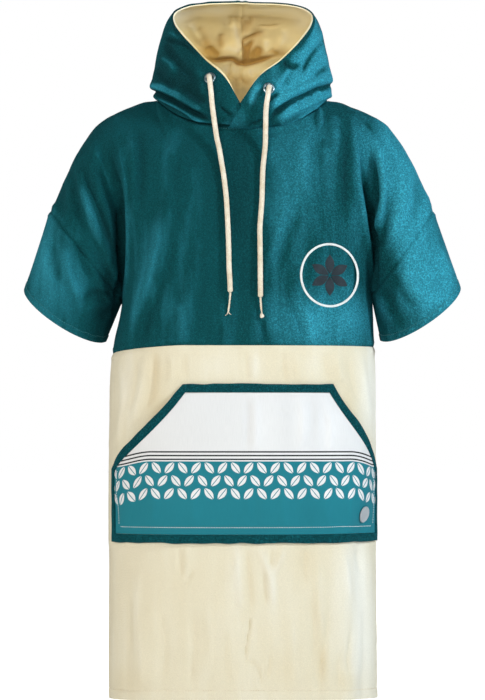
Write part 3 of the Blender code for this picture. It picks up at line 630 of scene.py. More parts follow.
@dataclass(frozen=True)
class HoodForm:
    """Hood from the neck seam to the opening's edge, a cubic curve at each angle round it."""

    neck: NeckForm = NeckForm()
    columns: tuple[str, ...] = (
        "angle", "edge_right", "edge_left", "edge_y", "edge_z",
        "root_out", "root_up", "tip_across", "tip_back", "tip_up",
    )
    rows: Rows = (
        (0.0, 0.000, 0.000, -0.110, -0.0177, 0.016, 0.006, 0.000, -0.008, -0.012),
        (25.0, 0.031, -0.029, -0.100, 0.0320, 0.026, 0.012, 0.014, -0.008, -0.022),
        (50.0, 0.068, -0.063, -0.084, 0.0640, 0.034, 0.022, 0.026, 0.004, -0.030),
        (75.0, 0.098, -0.091, -0.064, 0.0960, 0.028, 0.036, 0.030, 0.026, -0.030),
        (100.0, 0.119, -0.115, -0.040, 0.1280, 0.022, 0.046, 0.022, 0.054, -0.014),
        (122.0, 0.119, -0.116, -0.020, 0.1500, 0.030, 0.050, 0.020, 0.078, 0.010),
        (150.0, 0.084, -0.080, -0.008, 0.1665, 0.054, 0.056, 0.024, 0.106, 0.020),
        (180.0, 0.000, 0.000, -0.002, 0.1715, 0.070, 0.060, 0.000, 0.118, 0.025),
    )
    lap_over: float = 7.5
    lap_under: float = 15.0
    lap_lift: float = 0.0078
    lap_fade: tuple[float, float] = (18.0, 50.0)

    def point(self, angle: Array, height: Array) -> Array:
        """Outer surface: height 0 is the neck seam, 1 the edge of the face opening.

        Args:
            angle: Degrees round from the front, to the right.
            height: From the neck to the opening.

        Returns:
            Points.
        """
        angle, height = np.broadcast_arrays(angle, height)
        size, left = np.abs(angle), angle < 0
        read = {name: table(self.rows, self.columns, name, size) for name in self.columns[1:]}
        root = self.neck.seam(angle)
        edge_x = np.where(left, read["edge_left"], read["edge_right"])
        edge = joined(edge_x, read["edge_y"], read["edge_z"])
        turn = np.radians(angle)
        out = read["root_out"]
        rooted = joined(out * np.sin(turn), -out * np.cos(turn), read["root_up"])
        across = read["tip_across"] * np.where(left, -1.0, 1.0)
        tipped = joined(across, read["tip_back"], read["tip_up"])
        t = height[..., None]
        return (
            root * (1 - t) ** 3
            + (root + rooted) * 3 * t * (1 - t) ** 2
            + (edge + tipped) * 3 * t * t * (1 - t)
            + edge * t ** 3
        )

    def outward(self, angle: Array, height: Array) -> Array:
        """Outward direction: shared with the body at the neck, flat at the crown seam.

        Args:
            angle: Degrees round from the front, to the right.
            height: From 0 at the neck to 1 at the opening.

        Returns:
            Unit directions.
        """
        small, beside = 1e-3, 0.05
        right = self.point(np.minimum(angle + beside, 180), height)
        left = self.point(np.maximum(angle - beside, -180), height)
        up = self.point(angle, np.minimum(height + small, 1))
        up = up - self.point(angle, np.maximum(height - small, 0))
        outward = unit(np.cross(right - left, up))
        outward[np.abs(angle) > 180 - 1e-6, 0] = 0
        at_neck = height < 1e-6
        outward[at_neck] = self.neck.outward(angle)[at_neck]
        return unit(outward)

    def lap(self, angle: Array, hand: Hand) -> Array:
        """How far the right half lies above the left half at the front neck."""
        if hand is Hand.LEFT:
            return np.zeros(angle.shape)
        return self.lap_lift * (1 - step(*self.lap_fade, angle))


@dataclass(frozen=True)
class PocketForm:
    """Kangaroo pocket, laid out flat (across, drop) and then wrapped on the lower front."""

    body: BodyForm = BodyForm()
    top_width: float = 0.262
    top_centre: float = 0.028
    width: float = 0.524
    centre: float = 0.017
    top: float = 0.487
    corner: float = 0.630
    bottom: float = 0.753
    border: float = 0.0140
    mouth_sag: float = 0.012
    bulge: float = 0.012
    sewn_margin: float = 0.080
    clearance: float = 0.0017
    # Which way each edge hangs in: only the two slanted mouths do.
    mouths: Row = (-1.0, 0.0, 0.0, 0.0, 1.0, 0.0)

    def wrap(self, across: Array, drop: Array) -> tuple[Array, Array]:
        """Shares round the body for lengths across it, and the outward directions there.

        Args:
            across: Flat length across from the middle.
            drop: Drop below the shoulders, in metres.

        Returns:
            The shares, and unit directions.
        """
        shares = spread(-1, 1, 401)
        middle = (self.top + self.bottom) / 2
        lengths = along(self.body.section(shares, np.full(shares.shape, middle), False))
        share = np.interp(across, lengths - np.interp(0.0, shares, lengths), shares)
        return share, self.body.outward(share, drop, False)

    def place(self, across: Array, drop: Array, above: float) -> tuple[Array, Array]:
        """Points this far above the pocket's own underside, and their outward directions."""
        share, outward = self.wrap(across, drop)
        lift = self.lift(across, drop) + above
        return self.body.section(share, drop, False) + outward * lift[..., None], outward

    def lift(self, across: Array, drop: Array) -> Array:
        """How far the pocket stands off: nothing where it is sewn, most in the middle."""
        side = self.width / 2 - np.abs(across - self.centre)
        edges = (drop - self.top, self.bottom - drop, side)
        free = np.prod([step(0, 1, edge / self.sewn_margin) for edge in edges], axis=0)
        return self.clearance + self.bulge * free

    def corners(self, inset: float) -> Array:
        """Corners of the outline, moved in by inset, from the top right down and round.

        Args:
            inset: How far in, in metres.

        Returns:
            Six corners (across, drop).
        """
        top_half, half = self.top_width / 2, self.width / 2
        corners = np.array([
            (self.top_centre + top_half, self.top),
            (self.centre + half, self.corner),
            (self.centre + half, self.bottom),
            (self.centre - half, self.bottom),
            (self.centre - half, self.corner),
            (self.top_centre - top_half, self.top),
        ])
        onward = unit(np.roll(corners, -1, axis=0) - corners)
        inward = np.stack([-onward[:, 1], onward[:, 0]], axis=1)
        before = np.roll(inward, 1, axis=0)
        both = 1 + np.sum(inward * before, axis=1, keepdims=True)
        return corners + inset * (inward + before) / both

    def outline(self, inset: float, steps: tuple[int, ...]) -> Array:
        """Closed outline, moved in by inset. The slanted mouths hang in a little.

        Args:
            inset: How far in, in metres.
            steps: How many points each edge has.

        Returns:
            Points (across, drop).
        """
        corners, edges = self.corners(inset), []
        for number, count in enumerate(steps):
            share = np.arange(count) / count
            start, end = corners[number], corners[(number + 1) % len(corners)]
            edge = start + (end - start) * share[:, None]
            sag = self.mouth_sag * np.sin(math.pi * share)
            edge[:, 0] += self.mouths[number] * sag
            edges.append(edge)
        return np.concatenate(edges)


# ---- Creases, walls of cloth, and what lies on them ----


@dataclass(frozen=True)
class Crease:
    """Soft ridge (height above 0) or trough (below 0) along a given path.

    path holds (x, z) in millimetres, as seen level from in front, or from behind with x kept.
    width is the bell curve's half width and height its rise, in millimetres. lean, from -0.6
    to 0.6, makes the side of lower x narrower and the other wider.
    """

    path: Array
    width: float
    height: float
    lean: float = 0.0

    def rise(self, seen: Array) -> Array:
        """Height in metres at each seen place.

        The path is a smooth curve through its points. Height falls off with the distance
        across as a bell curve and fades to nothing over the last quarter at both ends.

        Args:
            seen: Places (x, z) in metres, as an array with 2 in its last axis.

        Returns:
            One height for each place.
        """
        marks = self.path / 1000
        places = spread(0, 1, len(marks))
        fine = spread(0, 1, 8 * len(marks))
        line = np.stack([smooth(fine, places, marks[:, axis]) for axis in range(2)], axis=1)
        width = self.width / 1000
        low, high = line.min(axis=0) - 3.5 * width, line.max(axis=0) + 3.5 * width
        near = np.all((seen > low) & (seen < high), axis=-1)
        total = np.zeros(seen.shape[:-1])
        spots = seen[near]
        if not len(spots):
            return total
        start, onward = line[:-1], np.diff(line, axis=0)
        offset = spots[:, None] - start
        share = np.sum(offset * onward, axis=-1) / np.sum(onward ** 2, axis=-1)
        share = np.clip(share, 0, 1)
        across = offset - share[..., None] * onward
        reach = np.linalg.norm(across, axis=-1)
        nearest = np.argmin(reach, axis=1)
        row = np.arange(len(spots))
        beside = across[row, nearest]
        along_line = (nearest + share[row, nearest]) / len(onward)
        side = np.sign(beside[:, 0] + 0.3 * beside[:, 1])
        across_share = reach[row, nearest] / (width * (1 + self.lean * side))
        fade = step(0, 0.25, along_line) * step(0, 0.25, 1 - along_line)
        total[near] = self.height / 1000 * np.exp(-across_share ** 2) * (0.15 + 0.85 * fade)
        return total


def creases(*rows: Row) -> tuple[Crease, ...]:
    """Creases from rows of half width, height, lean, and then x, z, x, z along the path."""
    return tuple(Crease(np.reshape(row[3:], (-1, 2)), *row[:3]) for row in rows)


def seen_flat(points: Array, eye_distance: float = 5.5, eye_height: float = -0.55) -> Array:
    """Where points are seen on the upright plane through the origin, by a level eye in front."""
    nearer = 1 + points[..., 1] / eye_distance
    return joined(points[..., 0] / nearer, eye_height + (points[..., 2] - eye_height) / nearer)


def painted_light_over(points: Array, height: Array, share: float,
              zones: Rows, front_only: bool = True) -> Array:
    """Tone of the cloth: painted light and shade in zones, painted light on ridges, painted shade
    in dips.

    Args:
        points: Places on the cloth.
        height: Its rise there, which counts in full from 5 mm.
        share: How much the rise counts, as painted light on ridges and painted shade in dips.
        zones: Rows of x, z, half width and half height in millimetres, and the share, above 0
        for painted light and below 0 for painted shade. Each adds a bell curve across and down.
        front_only: Whether they fade out round the sides.

    Returns:
        One tone for each point.
    """
    seen = seen_flat(points) * 1000
    total = np.zeros(points.shape[:-1])
    for x, z, wide, high, bright in zones:
        apart = ((seen[..., 0] - x) / wide) ** 2 + ((seen[..., 1] - z) / high) ** 2
        total = total + bright * np.exp(-apart)
    if front_only:
        total = total * step(-0.03, 0.02, -points[..., 1])
    return total + share * np.clip(height / 0.005, -1, 1)


@dataclass(frozen=True)
class Rumple:
    """Everything that makes the cloth uneven: given creases and slow swells.

    front and back hold the creases of both faces. Swells are smooth uneven values over space,
    swell high for the large ones and ripple high for the small ones, in metres.
    """

    front: tuple[Crease, ...]
    back: tuple[Crease, ...]
    swell: float
    ripple: float
    swell_size: Point = (0.075, 0.10, 0.16)
    ripple_size: Point = (0.018, 0.03, 0.045)
    side_from: float = 0.0
    side_margin: float = 0.030
    strength: float = 1.0

    def height(self, points: Array) -> Array:
        """Rise along the outward direction at each point, in metres.

        Args:
            points: Places on the cloth.

        Returns:
            One height for each point.
        """
        facing = step(self.side_from, self.side_from + self.side_margin, -points[..., 1])
        behind = step(0.0, self.side_margin, points[..., 1])
        seen = seen_flat(points)
        flat = points[..., [0, 2]]
        total = self.swell * wander(points, self.swell_size, 3)
        total = total + self.ripple * wander(points, self.ripple_size, 7)
        for crease in self.front:
            total = total + self.strength * crease.rise(seen) * facing
        for crease in self.back:
            total = total + self.strength * crease.rise(flat) * behind
        return total


def grid_quads(numbers: Array) -> Array:
    """Quads of a grid of point numbers."""
    corners = [numbers[:-1, :-1], numbers[:-1, 1:], numbers[1:, 1:], numbers[1:, :-1]]
    return np.stack([corner.ravel() for corner in corners], axis=1)


def numbered(points: Array) -> Array:
    """Point numbers of a grid of points."""
    return np.arange(points.shape[0] * points.shape[1]).reshape(points.shape[:2])


def closed(grid: Array) -> Array:
    """Grid with its first column again after its last."""
    return np.concatenate([grid, grid[:, :1]], axis=1)


def raised(points: Array, outward: Array, height: Array) -> Array:
    """Points moved along their outward directions."""
    return points + outward * height[..., None]


def strip_quads(first: Array, second: Array) -> Array:
    """Quads between two matching runs of point numbers."""
    return np.stack([first[:-1], second[:-1], second[1:], first[1:]], axis=1)


def mesh_object(name: str, points: Array, faces: Array, finish: Material,
                flat: Array | None = None, tone: Array | None = None, weld: float = 2e-5,
                sharp_angle: float = 50.0) -> Object:
    """Object from whole arrays, welded, with its faces outwards, riding on the part, reported.

    Args:
        name: The object's name.
        points: Places, (count, 3).
        faces: Point numbers, (faces, 3 or 4).
        finish: Its material.
        flat: Cloth coordinates in metres for each point, for the UV map.
        tone: Painted light and shade of the cloth at each point, from -1 to 1.
        weld: Distance below which points become one, or 0 for none.
        sharp_angle: Edges above this angle in degrees stay sharp.

    Returns:
        The object, at the origin.
    """
    mesh = bpy.data.meshes.new(name)
    mesh.from_pydata(points.tolist(), [], faces.tolist())
    if flat is not None:
        layer = mesh.uv_layers.new(name="cloth")
        corners = np.zeros(len(mesh.loops), dtype=np.int32)
        mesh.loops.foreach_get("vertex_index", corners)
        layer.data.foreach_set("uv", flat[corners].ravel())
    if tone is not None:
        mesh.attributes.new("tone", "FLOAT", "POINT").data.foreach_set("value", tone.ravel())
    if weld:
        shape = bmesh.new()
        shape.from_mesh(mesh)
        bmesh.ops.remove_doubles(shape, verts=shape.verts, dist=weld)
        if shape.calc_volume(signed=True) < 0:
            bmesh.ops.reverse_faces(shape, faces=shape.faces)
        shape.to_mesh(mesh)
        shape.free()
    mesh.materials.append(finish)
    mesh.shade_smooth()
    mesh.set_sharp_from_angle(angle=math.radians(sharp_angle))
    made = bpy.data.objects.new(name, mesh)
    bpy.context.scene.collection.objects.link(made)
    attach(made, "root")
    LOG.info("%s: %d faces", made.name, len(mesh.polygons))
    return made


@dataclass
class Cloth:
    """Wall of cloth: an outer surface on a grid and the same surface moved in.

    outer and outward are (rows, columns, 3), flat is (rows, columns, 2), in metres.
    """

    outer: Array
    outward: Array
    flat: Array
    thickness: float
    closed: bool = False
    tone: Array | None = None

    def build(self, name: str, finish: Material) -> Object:
        """The closed wall as an object.

        Args:
            name: The object's name.
            finish: Its material.

        Returns:
            The object.
        """
        numbers = numbered(self.outer)
        count = numbers.size
        inner = self.outer - self.outward * self.thickness
        faces = [grid_quads(numbers), grid_quads(numbers + count)[:, ::-1]]
        edges = [numbers[0], numbers[-1][::-1]]
        if not self.closed:
            edges += [numbers[::-1, 0], numbers[:, -1]]
        faces += [strip_quads(edge, edge + count) for edge in edges]
        tone = np.zeros(numbers.shape) if self.tone is None else self.tone
        return mesh_object(name, np.concatenate([self.outer, inner]).reshape(-1, 3),
                           np.concatenate(faces), finish,
                           np.concatenate([self.flat, self.flat]).reshape(-1, 2),
                           np.concatenate([tone, tone]))

    def area(self) -> float:
        """Area of the outer surface, in square metres."""
        right = np.diff(self.outer, axis=1)[:-1]
        up = np.diff(self.outer, axis=0)[:, :-1]
        return float(np.linalg.norm(np.cross(right, up), axis=-1).sum())


@dataclass
class Ground:
    """Finished outer surface that trims and stitches are laid on."""

    points: Array
    outward: Array

    @classmethod
    def of(cls, *pieces: Cloth) -> Ground:
        """Ground from the outer surfaces of one or more pieces."""
        return cls(np.concatenate([piece.outer.reshape(-1, 3) for piece in pieces]),
                   np.concatenate([piece.outward.reshape(-1, 3) for piece in pieces]))

    def near(self, spots: Array, margin: float = 0.010) -> Ground:
        """The part of it around some places as seen from in front.

        Args:
            spots: The places.
            margin: How far past them, in metres.

        Returns:
            The smaller ground.
        """
        low, high = spots.min(axis=0) - margin, spots.max(axis=0) + margin
        inside = (self.points > low) & (self.points < high)
        inside = inside[:, 0] & inside[:, 2]
        return Ground(self.points[inside], self.outward[inside])

    def under(self, spots: Array) -> tuple[Array, Array]:
        """Surface points and outward directions nearest to places in space.

        Each is the mean of the tangent planes of the four nearest known points, weighted by
        closeness, met by the place moved straight along the outward direction.

        Args:
            spots: Places near the surface, (count, 3).

        Returns:
            Points on the surface and unit outward directions.
        """
        points, outward = [], []
        for part in np.array_split(spots, max(1, len(spots) // 400)):
            apart = np.linalg.norm(part[:, None] - self.points[None], axis=-1)
            near = np.argpartition(apart, 4, axis=1)[:, :4]
            closeness = 1 / (np.take_along_axis(apart, near, axis=1) + 1e-4) ** 2
            closeness /= closeness.sum(axis=1, keepdims=True)
            normal = unit((self.outward[near] * closeness[..., None]).sum(axis=1))
            above = ((part[:, None] - self.points[near]) * normal[:, None]).sum(axis=-1)
            height = (above * closeness).sum(axis=1, keepdims=True)
            points.append(part - normal * height)
            outward.append(normal)
        return np.concatenate(points), np.concatenate(outward)


@dataclass(frozen=True)
class Stitching:
    """Row of stitches along a path, each a small lozenge of thread that dips at its ends."""

    length: float = 0.0030
    pitch: float = 0.0042
    radius: float = 0.00055
    proud: float = 0.0001
    flatness: float = 0.8
    ring_places: Row = (-1.0, -0.55, 0.55, 1.0)
    ring_sizes: Row = (0.35, 1.0, 1.0, 0.35)

    def build(self, name: str, paths: list[Array], ground: Ground,
              finish: Material) -> Object:
        """Stitches along paths of points near the ground.

        Each stitch is a tube of four rings of six points, its radius a half sine along it.

        Args:
            name: The object's name.
            paths: Runs of places, each (count, 3).
            ground: What they are sewn into.
            finish: The thread's material.

        Returns:
            One object with every stitch.
        """
        starts, ends = [], []
        for path in paths:
            walked = along(path)
            places = np.arange(self.pitch / 2, walked[-1] - self.pitch / 2, self.pitch)
            starts.append(resample(path, walked, places - self.length / 2))
            ends.append(resample(path, walked, places + self.length / 2))
        start, end = np.concatenate(starts), np.concatenate(ends)
        middle, outward = ground.under((start + end) / 2)
        onward = unit(end - start)
        onward = unit(onward - outward * np.sum(onward * outward, axis=1, keepdims=True))
        beside = np.cross(outward, onward)
        places, thick = np.array(self.ring_places), np.array(self.ring_sizes)
        turn = spread(0, 2 * math.pi, 7)[:-1]
        forward = onward[:, None, None] * (places * self.length / 2)[None, :, None, None]
        round_across = beside[:, None, None] * np.cos(turn)[None, None, :, None]
        round_up = outward[:, None, None] * np.sin(turn)[None, None, :, None] * self.flatness
        ring = (round_across + round_up) * thick[None, :, None, None] * self.radius
        dip = (1 - thick)[None, :, None, None] * self.radius * outward[:, None, None]
        centre = middle + outward * self.proud
        points = centre[:, None, None] + forward + ring - dip
        quads = grid_quads(closed(np.arange(4 * 6).reshape(4, 6)))
        caps = np.array([[5, 4, 3, 0], [3, 2, 1, 0], [18, 21, 22, 23], [18, 19, 20, 21]])
        faces = np.concatenate([quads[:, ::-1], caps[:, ::-1]])
        every = faces[None] + (np.arange(len(middle)) * 24)[:, None, None]
        return mesh_object(name, points.reshape(-1, 3), every.reshape(-1, 4), finish, weld=0)


# ---- Shader helpers and shared effects ----


class Graph:
    """Short way to add shader nodes to one tree and join them."""

    def __init__(self, tree: Tree, made: Material | None = None) -> None:
        """Keep the tree that the nodes go into, and the material that it belongs to."""
        self.tree, self.made = tree, made

    @classmethod
    def finish(cls, name: str, **sockets: object) -> Graph:
        """Graph of a new material with a Principled shader.

        Args:
            name: The material's name.
            sockets: Constant values of the shader's sockets, with _ for a space.

        Returns:
            The graph.
        """
        made = bpy.data.materials.new(name)
        made.use_nodes = True
        graph = cls(made.node_tree, made)
        graph.feed(graph.shader(), {label.replace("_", " ").title().replace("Ior", "IOR"): value
                                    for label, value in sockets.items()})
        return graph

    def shader(self) -> Node:
        """The material's shader node."""
        return self.tree.nodes["Principled BSDF"]

    def feed(self, node: Node, inputs: dict[str | int, object]) -> None:
        """Join sockets to a node's inputs, or set their values.

        Args:
            node: The node.
            inputs: Sockets or values, by the input's name or number.
        """
        for name, value in inputs.items():
            if isinstance(value, Socket):
                self.tree.links.new(value, node.inputs[name])
            else:
                node.inputs[name].default_value = value

    def add(self, kind: str, inputs: dict[str | int, object] | None = None, out: str | int = 0,
            **settings: object) -> Socket:
        """Add one node.

        Args:
            kind: Its type name, without the first word that all of them share.
            inputs: Sockets to join or values to set.
            out: Which output to return.
            settings: Properties of the node.

        Returns:
            The chosen output socket.
        """
        node = self.tree.nodes.new("ShaderNode" + kind)
        for name, value in settings.items():
            setattr(node, name, value)
        self.feed(node, inputs or {})
        return node.outputs[out]

    def math(self, operation: str, first: object, second: object = 0.0,
             clamp: bool = False) -> Socket:
        """One arithmetic step on two values."""
        return self.add("Math", {0: first, 1: second}, operation=operation, use_clamp=clamp)

    def times(self, first: object, second: object) -> Socket:
        """Product of two values."""
        return self.math("MULTIPLY", first, second)

    def plus(self, first: object, second: object) -> Socket:
        """Sum of two values."""
        return self.math("ADD", first, second)

    def minus(self, first: object, second: object) -> Socket:
        """First value less the second."""
        return self.math("SUBTRACT", first, second)

    def mix(self, share: object, low: object, high: object, blend: str = "MIX") -> Socket:
        """Colour between low (share 0) and high (share 1)."""
        inputs = {0: share, 6: low, 7: high}
        return self.add("Mix", inputs, 2, data_type="RGBA", blend_type=blend)

    def between(self, value: object, low: object, high: object, to_low: float = 0.0,
                to_high: float = 1.0) -> Socket:
        """Value eased from one range to another."""
        inputs = {0: value, 1: low, 2: high, 3: to_low, 4: to_high}
        return self.add("MapRange", inputs, interpolation_type="SMOOTHSTEP")

    def noise(self, place: object, scale: object, detail: float = 2.0,
              roughness: float = 0.5) -> Socket:
        """Smooth uneven value, about 0 to 1."""
        return self.add("TexNoise", {"Vector": place, "Scale": scale, "Detail": detail,
                                     "Roughness": roughness})

    def stretched(self, place: object, down: float, across: float = 1.0) -> Socket:
        """Places scaled along Z by down and along Y by across."""
        return self.add("Mapping", {"Vector": place, "Scale": (1.0, across, down)})

    def place(self) -> Socket:
        """Place on the object, in metres."""
        return self.add("TexCoord", out="Object")

    def toned(self, level: object, dark: Colour, plain: Colour, bright: Colour) -> Socket:
        """Colour for a level from -1, dark, over 0, plain, to 1, bright."""
        up = self.mix(self.math("MAXIMUM", level, 0.0, True), opaque(plain), opaque(bright))
        return self.mix(self.math("MULTIPLY", level, -1.0, True), up, opaque(dark))

    def tone(self) -> Socket:
        """The mesh's tone of painted light and shade, from -1 to 1."""
        return self.add("Attribute", out="Fac", attribute_name="tone")

    def effect(self, group: Tree, inputs: dict[str, object]) -> bpy.types.NodeOutputs:
        """Place a shared effect.

        Args:
            group: The effect.
            inputs: Sockets to join or values to set.

        Returns:
            Its outputs.
        """
        node = self.tree.nodes.new("ShaderNodeGroup")
        node.node_tree = group
        self.feed(node, inputs)
        return node.outputs

    def dressed(self, colour: Socket, height: Socket, depth: float) -> Material:
        """The material, with a colour and with a relief of this depth in metres."""
        relief = self.add("Bump", {"Height": height, "Distance": depth, "Strength": 1.0})
        self.feed(self.shader(), {"Base Color": colour, "Normal": relief})
        return self.made


def new_effect(name: str, inputs: dict[str, float | None],
               outputs: tuple[str, ...]) -> tuple[Graph, bpy.types.NodeOutputs, Node]:
    """Empty shared effect with named sockets.

    Args:
        name: The effect's name.
        inputs: Default of each input, or None for a place.
        outputs: Names of the values it puts out.

    Returns:
        Its graph, the sockets that its inputs come from, and the node that its outputs go to.
    """
    graph = Graph(bpy.data.node_groups.new(name, "ShaderNodeTree"))
    for label, default in inputs.items():
        kind = "NodeSocketVector" if default is None else "NodeSocketFloat"
        socket = graph.tree.interface.new_socket(label, in_out="INPUT", socket_type=kind)
        if default is not None:
            socket.default_value = default
    for label in outputs:
        graph.tree.interface.new_socket(label, in_out="OUTPUT", socket_type="NodeSocketFloat")
    entry, leave = (graph.tree.nodes.new(f"NodeGroup{end}") for end in ("Input", "Output"))
    return graph, entry.outputs, leave


def make_pile_effect() -> Tree:
    """Terry loops: rounded cells jittered by noise, and specks where loops stand up together.

    Returns:
        The effect. Loops is 1 at a loop's tip and 0 in the gap beside it, Specks 1 on standing
        tufts. Nap is a slow patchy value from 0 to 1, drawn out down the cloth. Height joins
        loops and specks.
    """
    graph, source, leave = new_effect(
        "terry_pile", {"Place": None, "Fineness": 620.0, "Tufts": 340.0},
        ("Loops", "Specks", "Nap", "Height"))
    place = source["Place"]
    bent = graph.add("TexNoise", {"Vector": place, "Scale": 240.0, "Detail": 2.0}, 1)
    moved = graph.add("VectorMath", {0: bent, 1: (0.004, 0.004, 0.004), 2: place},
                      operation="MULTIPLY_ADD")
    cells = graph.add("TexVoronoi", {"Vector": moved, "Scale": source["Fineness"],
                                     "Randomness": 1.0})
    loops = graph.between(cells, 0.0, 0.62, 1.0, 0.0)
    specks = graph.between(graph.noise(place, source["Tufts"], 3.0, 0.72), 0.40, 0.64)
    wide = graph.noise(graph.stretched(place, 0.30), 22.0, 4.0, 0.62)
    lanes = graph.noise(graph.stretched(place, 0.10), 75.0, 2.0, 0.5)
    nap = graph.plus(graph.times(wide, 0.65), graph.times(lanes, 0.35))
    graph.feed(leave, {"Loops": loops, "Specks": specks, "Nap": graph.between(nap, 0.36, 0.64),
                       "Height": graph.times(graph.plus(loops, specks), 0.5)})
    return graph.tree


def make_stain_effect() -> Tree:
    """Soft uneven patches, drawn out down the cloth: 0 clean, 1 deepest.

    Returns:
        The effect.
    """
    graph, source, leave = new_effect(
        "soft_patches", {"Place": None, "Size": 9.0, "Low": 0.50, "High": 0.72}, ("Patches",))
    patch = graph.noise(graph.stretched(source["Place"], 0.42), source["Size"], 5.0, 0.55)
    graph.feed(leave, {"Patches": graph.between(patch, source["Low"], source["High"])})
    return graph.tree


def make_weave_effect() -> Tree:
    """Plain weave from cloth coordinates: threads both ways, each a half sine across.

    Returns:
        The effect. Height is the larger of the two threads' heights, Threads the same with
        uneven yarn.
    """
    graph, source, leave = new_effect(
        "plain_weave", {"Place": None, "Count": 900.0}, ("Height", "Threads"))
    across = graph.add("SeparateXYZ", {0: source["Place"]})
    waves = [graph.math("ABSOLUTE", graph.math("SINE", graph.times(value, source["Count"])))
             for value in (across, across.node.outputs[1])]
    height = graph.math("MAXIMUM", *waves)
    yarn = graph.noise(graph.stretched(source["Place"], 1.0, 0.06), 900.0, 2.0)
    graph.feed(leave, {"Height": height, "Threads": graph.times(height, yarn)})
    return graph.tree


def opaque(colour: Colour) -> tuple[float, float, float, float]:
    """Colour with full cover."""
    return (*colour, 1.0)


@dataclass(frozen=True)
class TerryFinish:
    """Terry cloth: loops with painted shade in the gaps between them, and a nap that turns light
    or dark.

    dark, plain and bright are its colours over the tone from -1 to 1: painted shade, plain and
    painted light where the mesh's tone says so, swung at random by the nap. gap is how much
    colour is left between loops, painted shade in the gaps. specks is how far tufts differ in
    lightness on the garment's right half, painted highlights on loop tips on the lit side, and
    shaded_side_specks the same on the shaded left half.
    """

    name: str
    dark: Colour
    plain: Colour
    bright: Colour
    shaded_side_specks: float = 0.12
    specks: float = 0.35
    gap: float = 0.62
    nap_share: float = 0.13
    fineness: float = 620.0
    tufts: float = 340.0
    depth: float = 0.0015
    sheen: float = 0.10
    sheen_colour: Colour = (0.10, 0.70, 0.95)

    def build(self, pile: Tree) -> Material:
        """The material, from the shared effect of terry pile.

        Args:
            pile: The effect.

        Returns:
            The material.
        """
        graph = Graph.finish(
            self.name, roughness=0.92, sheen_weight=self.sheen, sheen_roughness=0.4,
            sheen_tint=opaque(self.sheen_colour), specular_ior_level=0.04)
        place = graph.place()
        cloth = graph.effect(pile, {"Place": place, "Fineness": self.fineness,
                                    "Tufts": self.tufts})
        swing = graph.times(graph.minus(cloth["Nap"], 0.5), 2 * self.nap_share)
        # The mesh's tone is painted light and shade; the nap adds random swings.
        ground = graph.toned(graph.plus(graph.tone(), swing), self.dark, self.plain, self.bright)
        # Darker in the gaps between loops: painted shade.
        painted_loop_light = graph.between(cloth["Loops"], 0.0, 0.7, self.gap, 1.0)
        # Speck contrast grows with X from the left half to the right: painted highlights on loop
        # tips on the lit side.
        across = graph.add("SeparateXYZ", {"Vector": place})
        standing = graph.between(across, -0.12, 0.16, self.shaded_side_specks, self.specks)
        speck = graph.between(cloth["Specks"], 0.0, 1.0, -0.62, 1.2)
        painted_loop_light = graph.times(painted_loop_light, graph.plus(graph.times(speck, standing), 1.0))
        colour = graph.mix(1.0, ground, painted_loop_light, "MULTIPLY")
        return graph.dressed(colour, cloth["Height"], self.depth)


@dataclass(frozen=True)
class LiningFinish:
    """Brushed lining: fine soft cloth, with painted shade in its folds and painted light near the
    opening.
    """

    name: str = "hood_lining"
    # light is painted light and deep is painted shade, chosen by the mesh's tone.
    light: Colour = (0.94, 0.86, 0.66)
    plain: Colour = (0.88, 0.72, 0.37)
    deep: Colour = (0.50, 0.30, 0.08)

    def build(self, pile: Tree, stains: Tree) -> Material:
        """The material, from two shared effects.

        Args:
            pile: Terry pile, very fine here.
            stains: Soft uneven patches.

        Returns:
            The material.
        """
        graph = Graph.finish(
            self.name, roughness=0.9, sheen_weight=0.15, sheen_roughness=0.5,
            sheen_tint=opaque((1.0, 0.93, 0.8)), specular_ior_level=0.15)
        place = graph.place()
        patches = graph.effect(stains, {"Place": place, "Size": 16.0, "Low": 0.35, "High": 0.75})
        brushed = graph.effect(pile, {"Place": place, "Fineness": 1100.0, "Tufts": 700.0})
        # The mesh's tone carries painted light and shade; the patches are random.
        level = graph.minus(graph.tone(), graph.times(patches[0], 0.25))
        colour = graph.toned(level, self.deep, self.plain, self.light)
        return graph.dressed(colour, brushed["Height"], 0.0003)


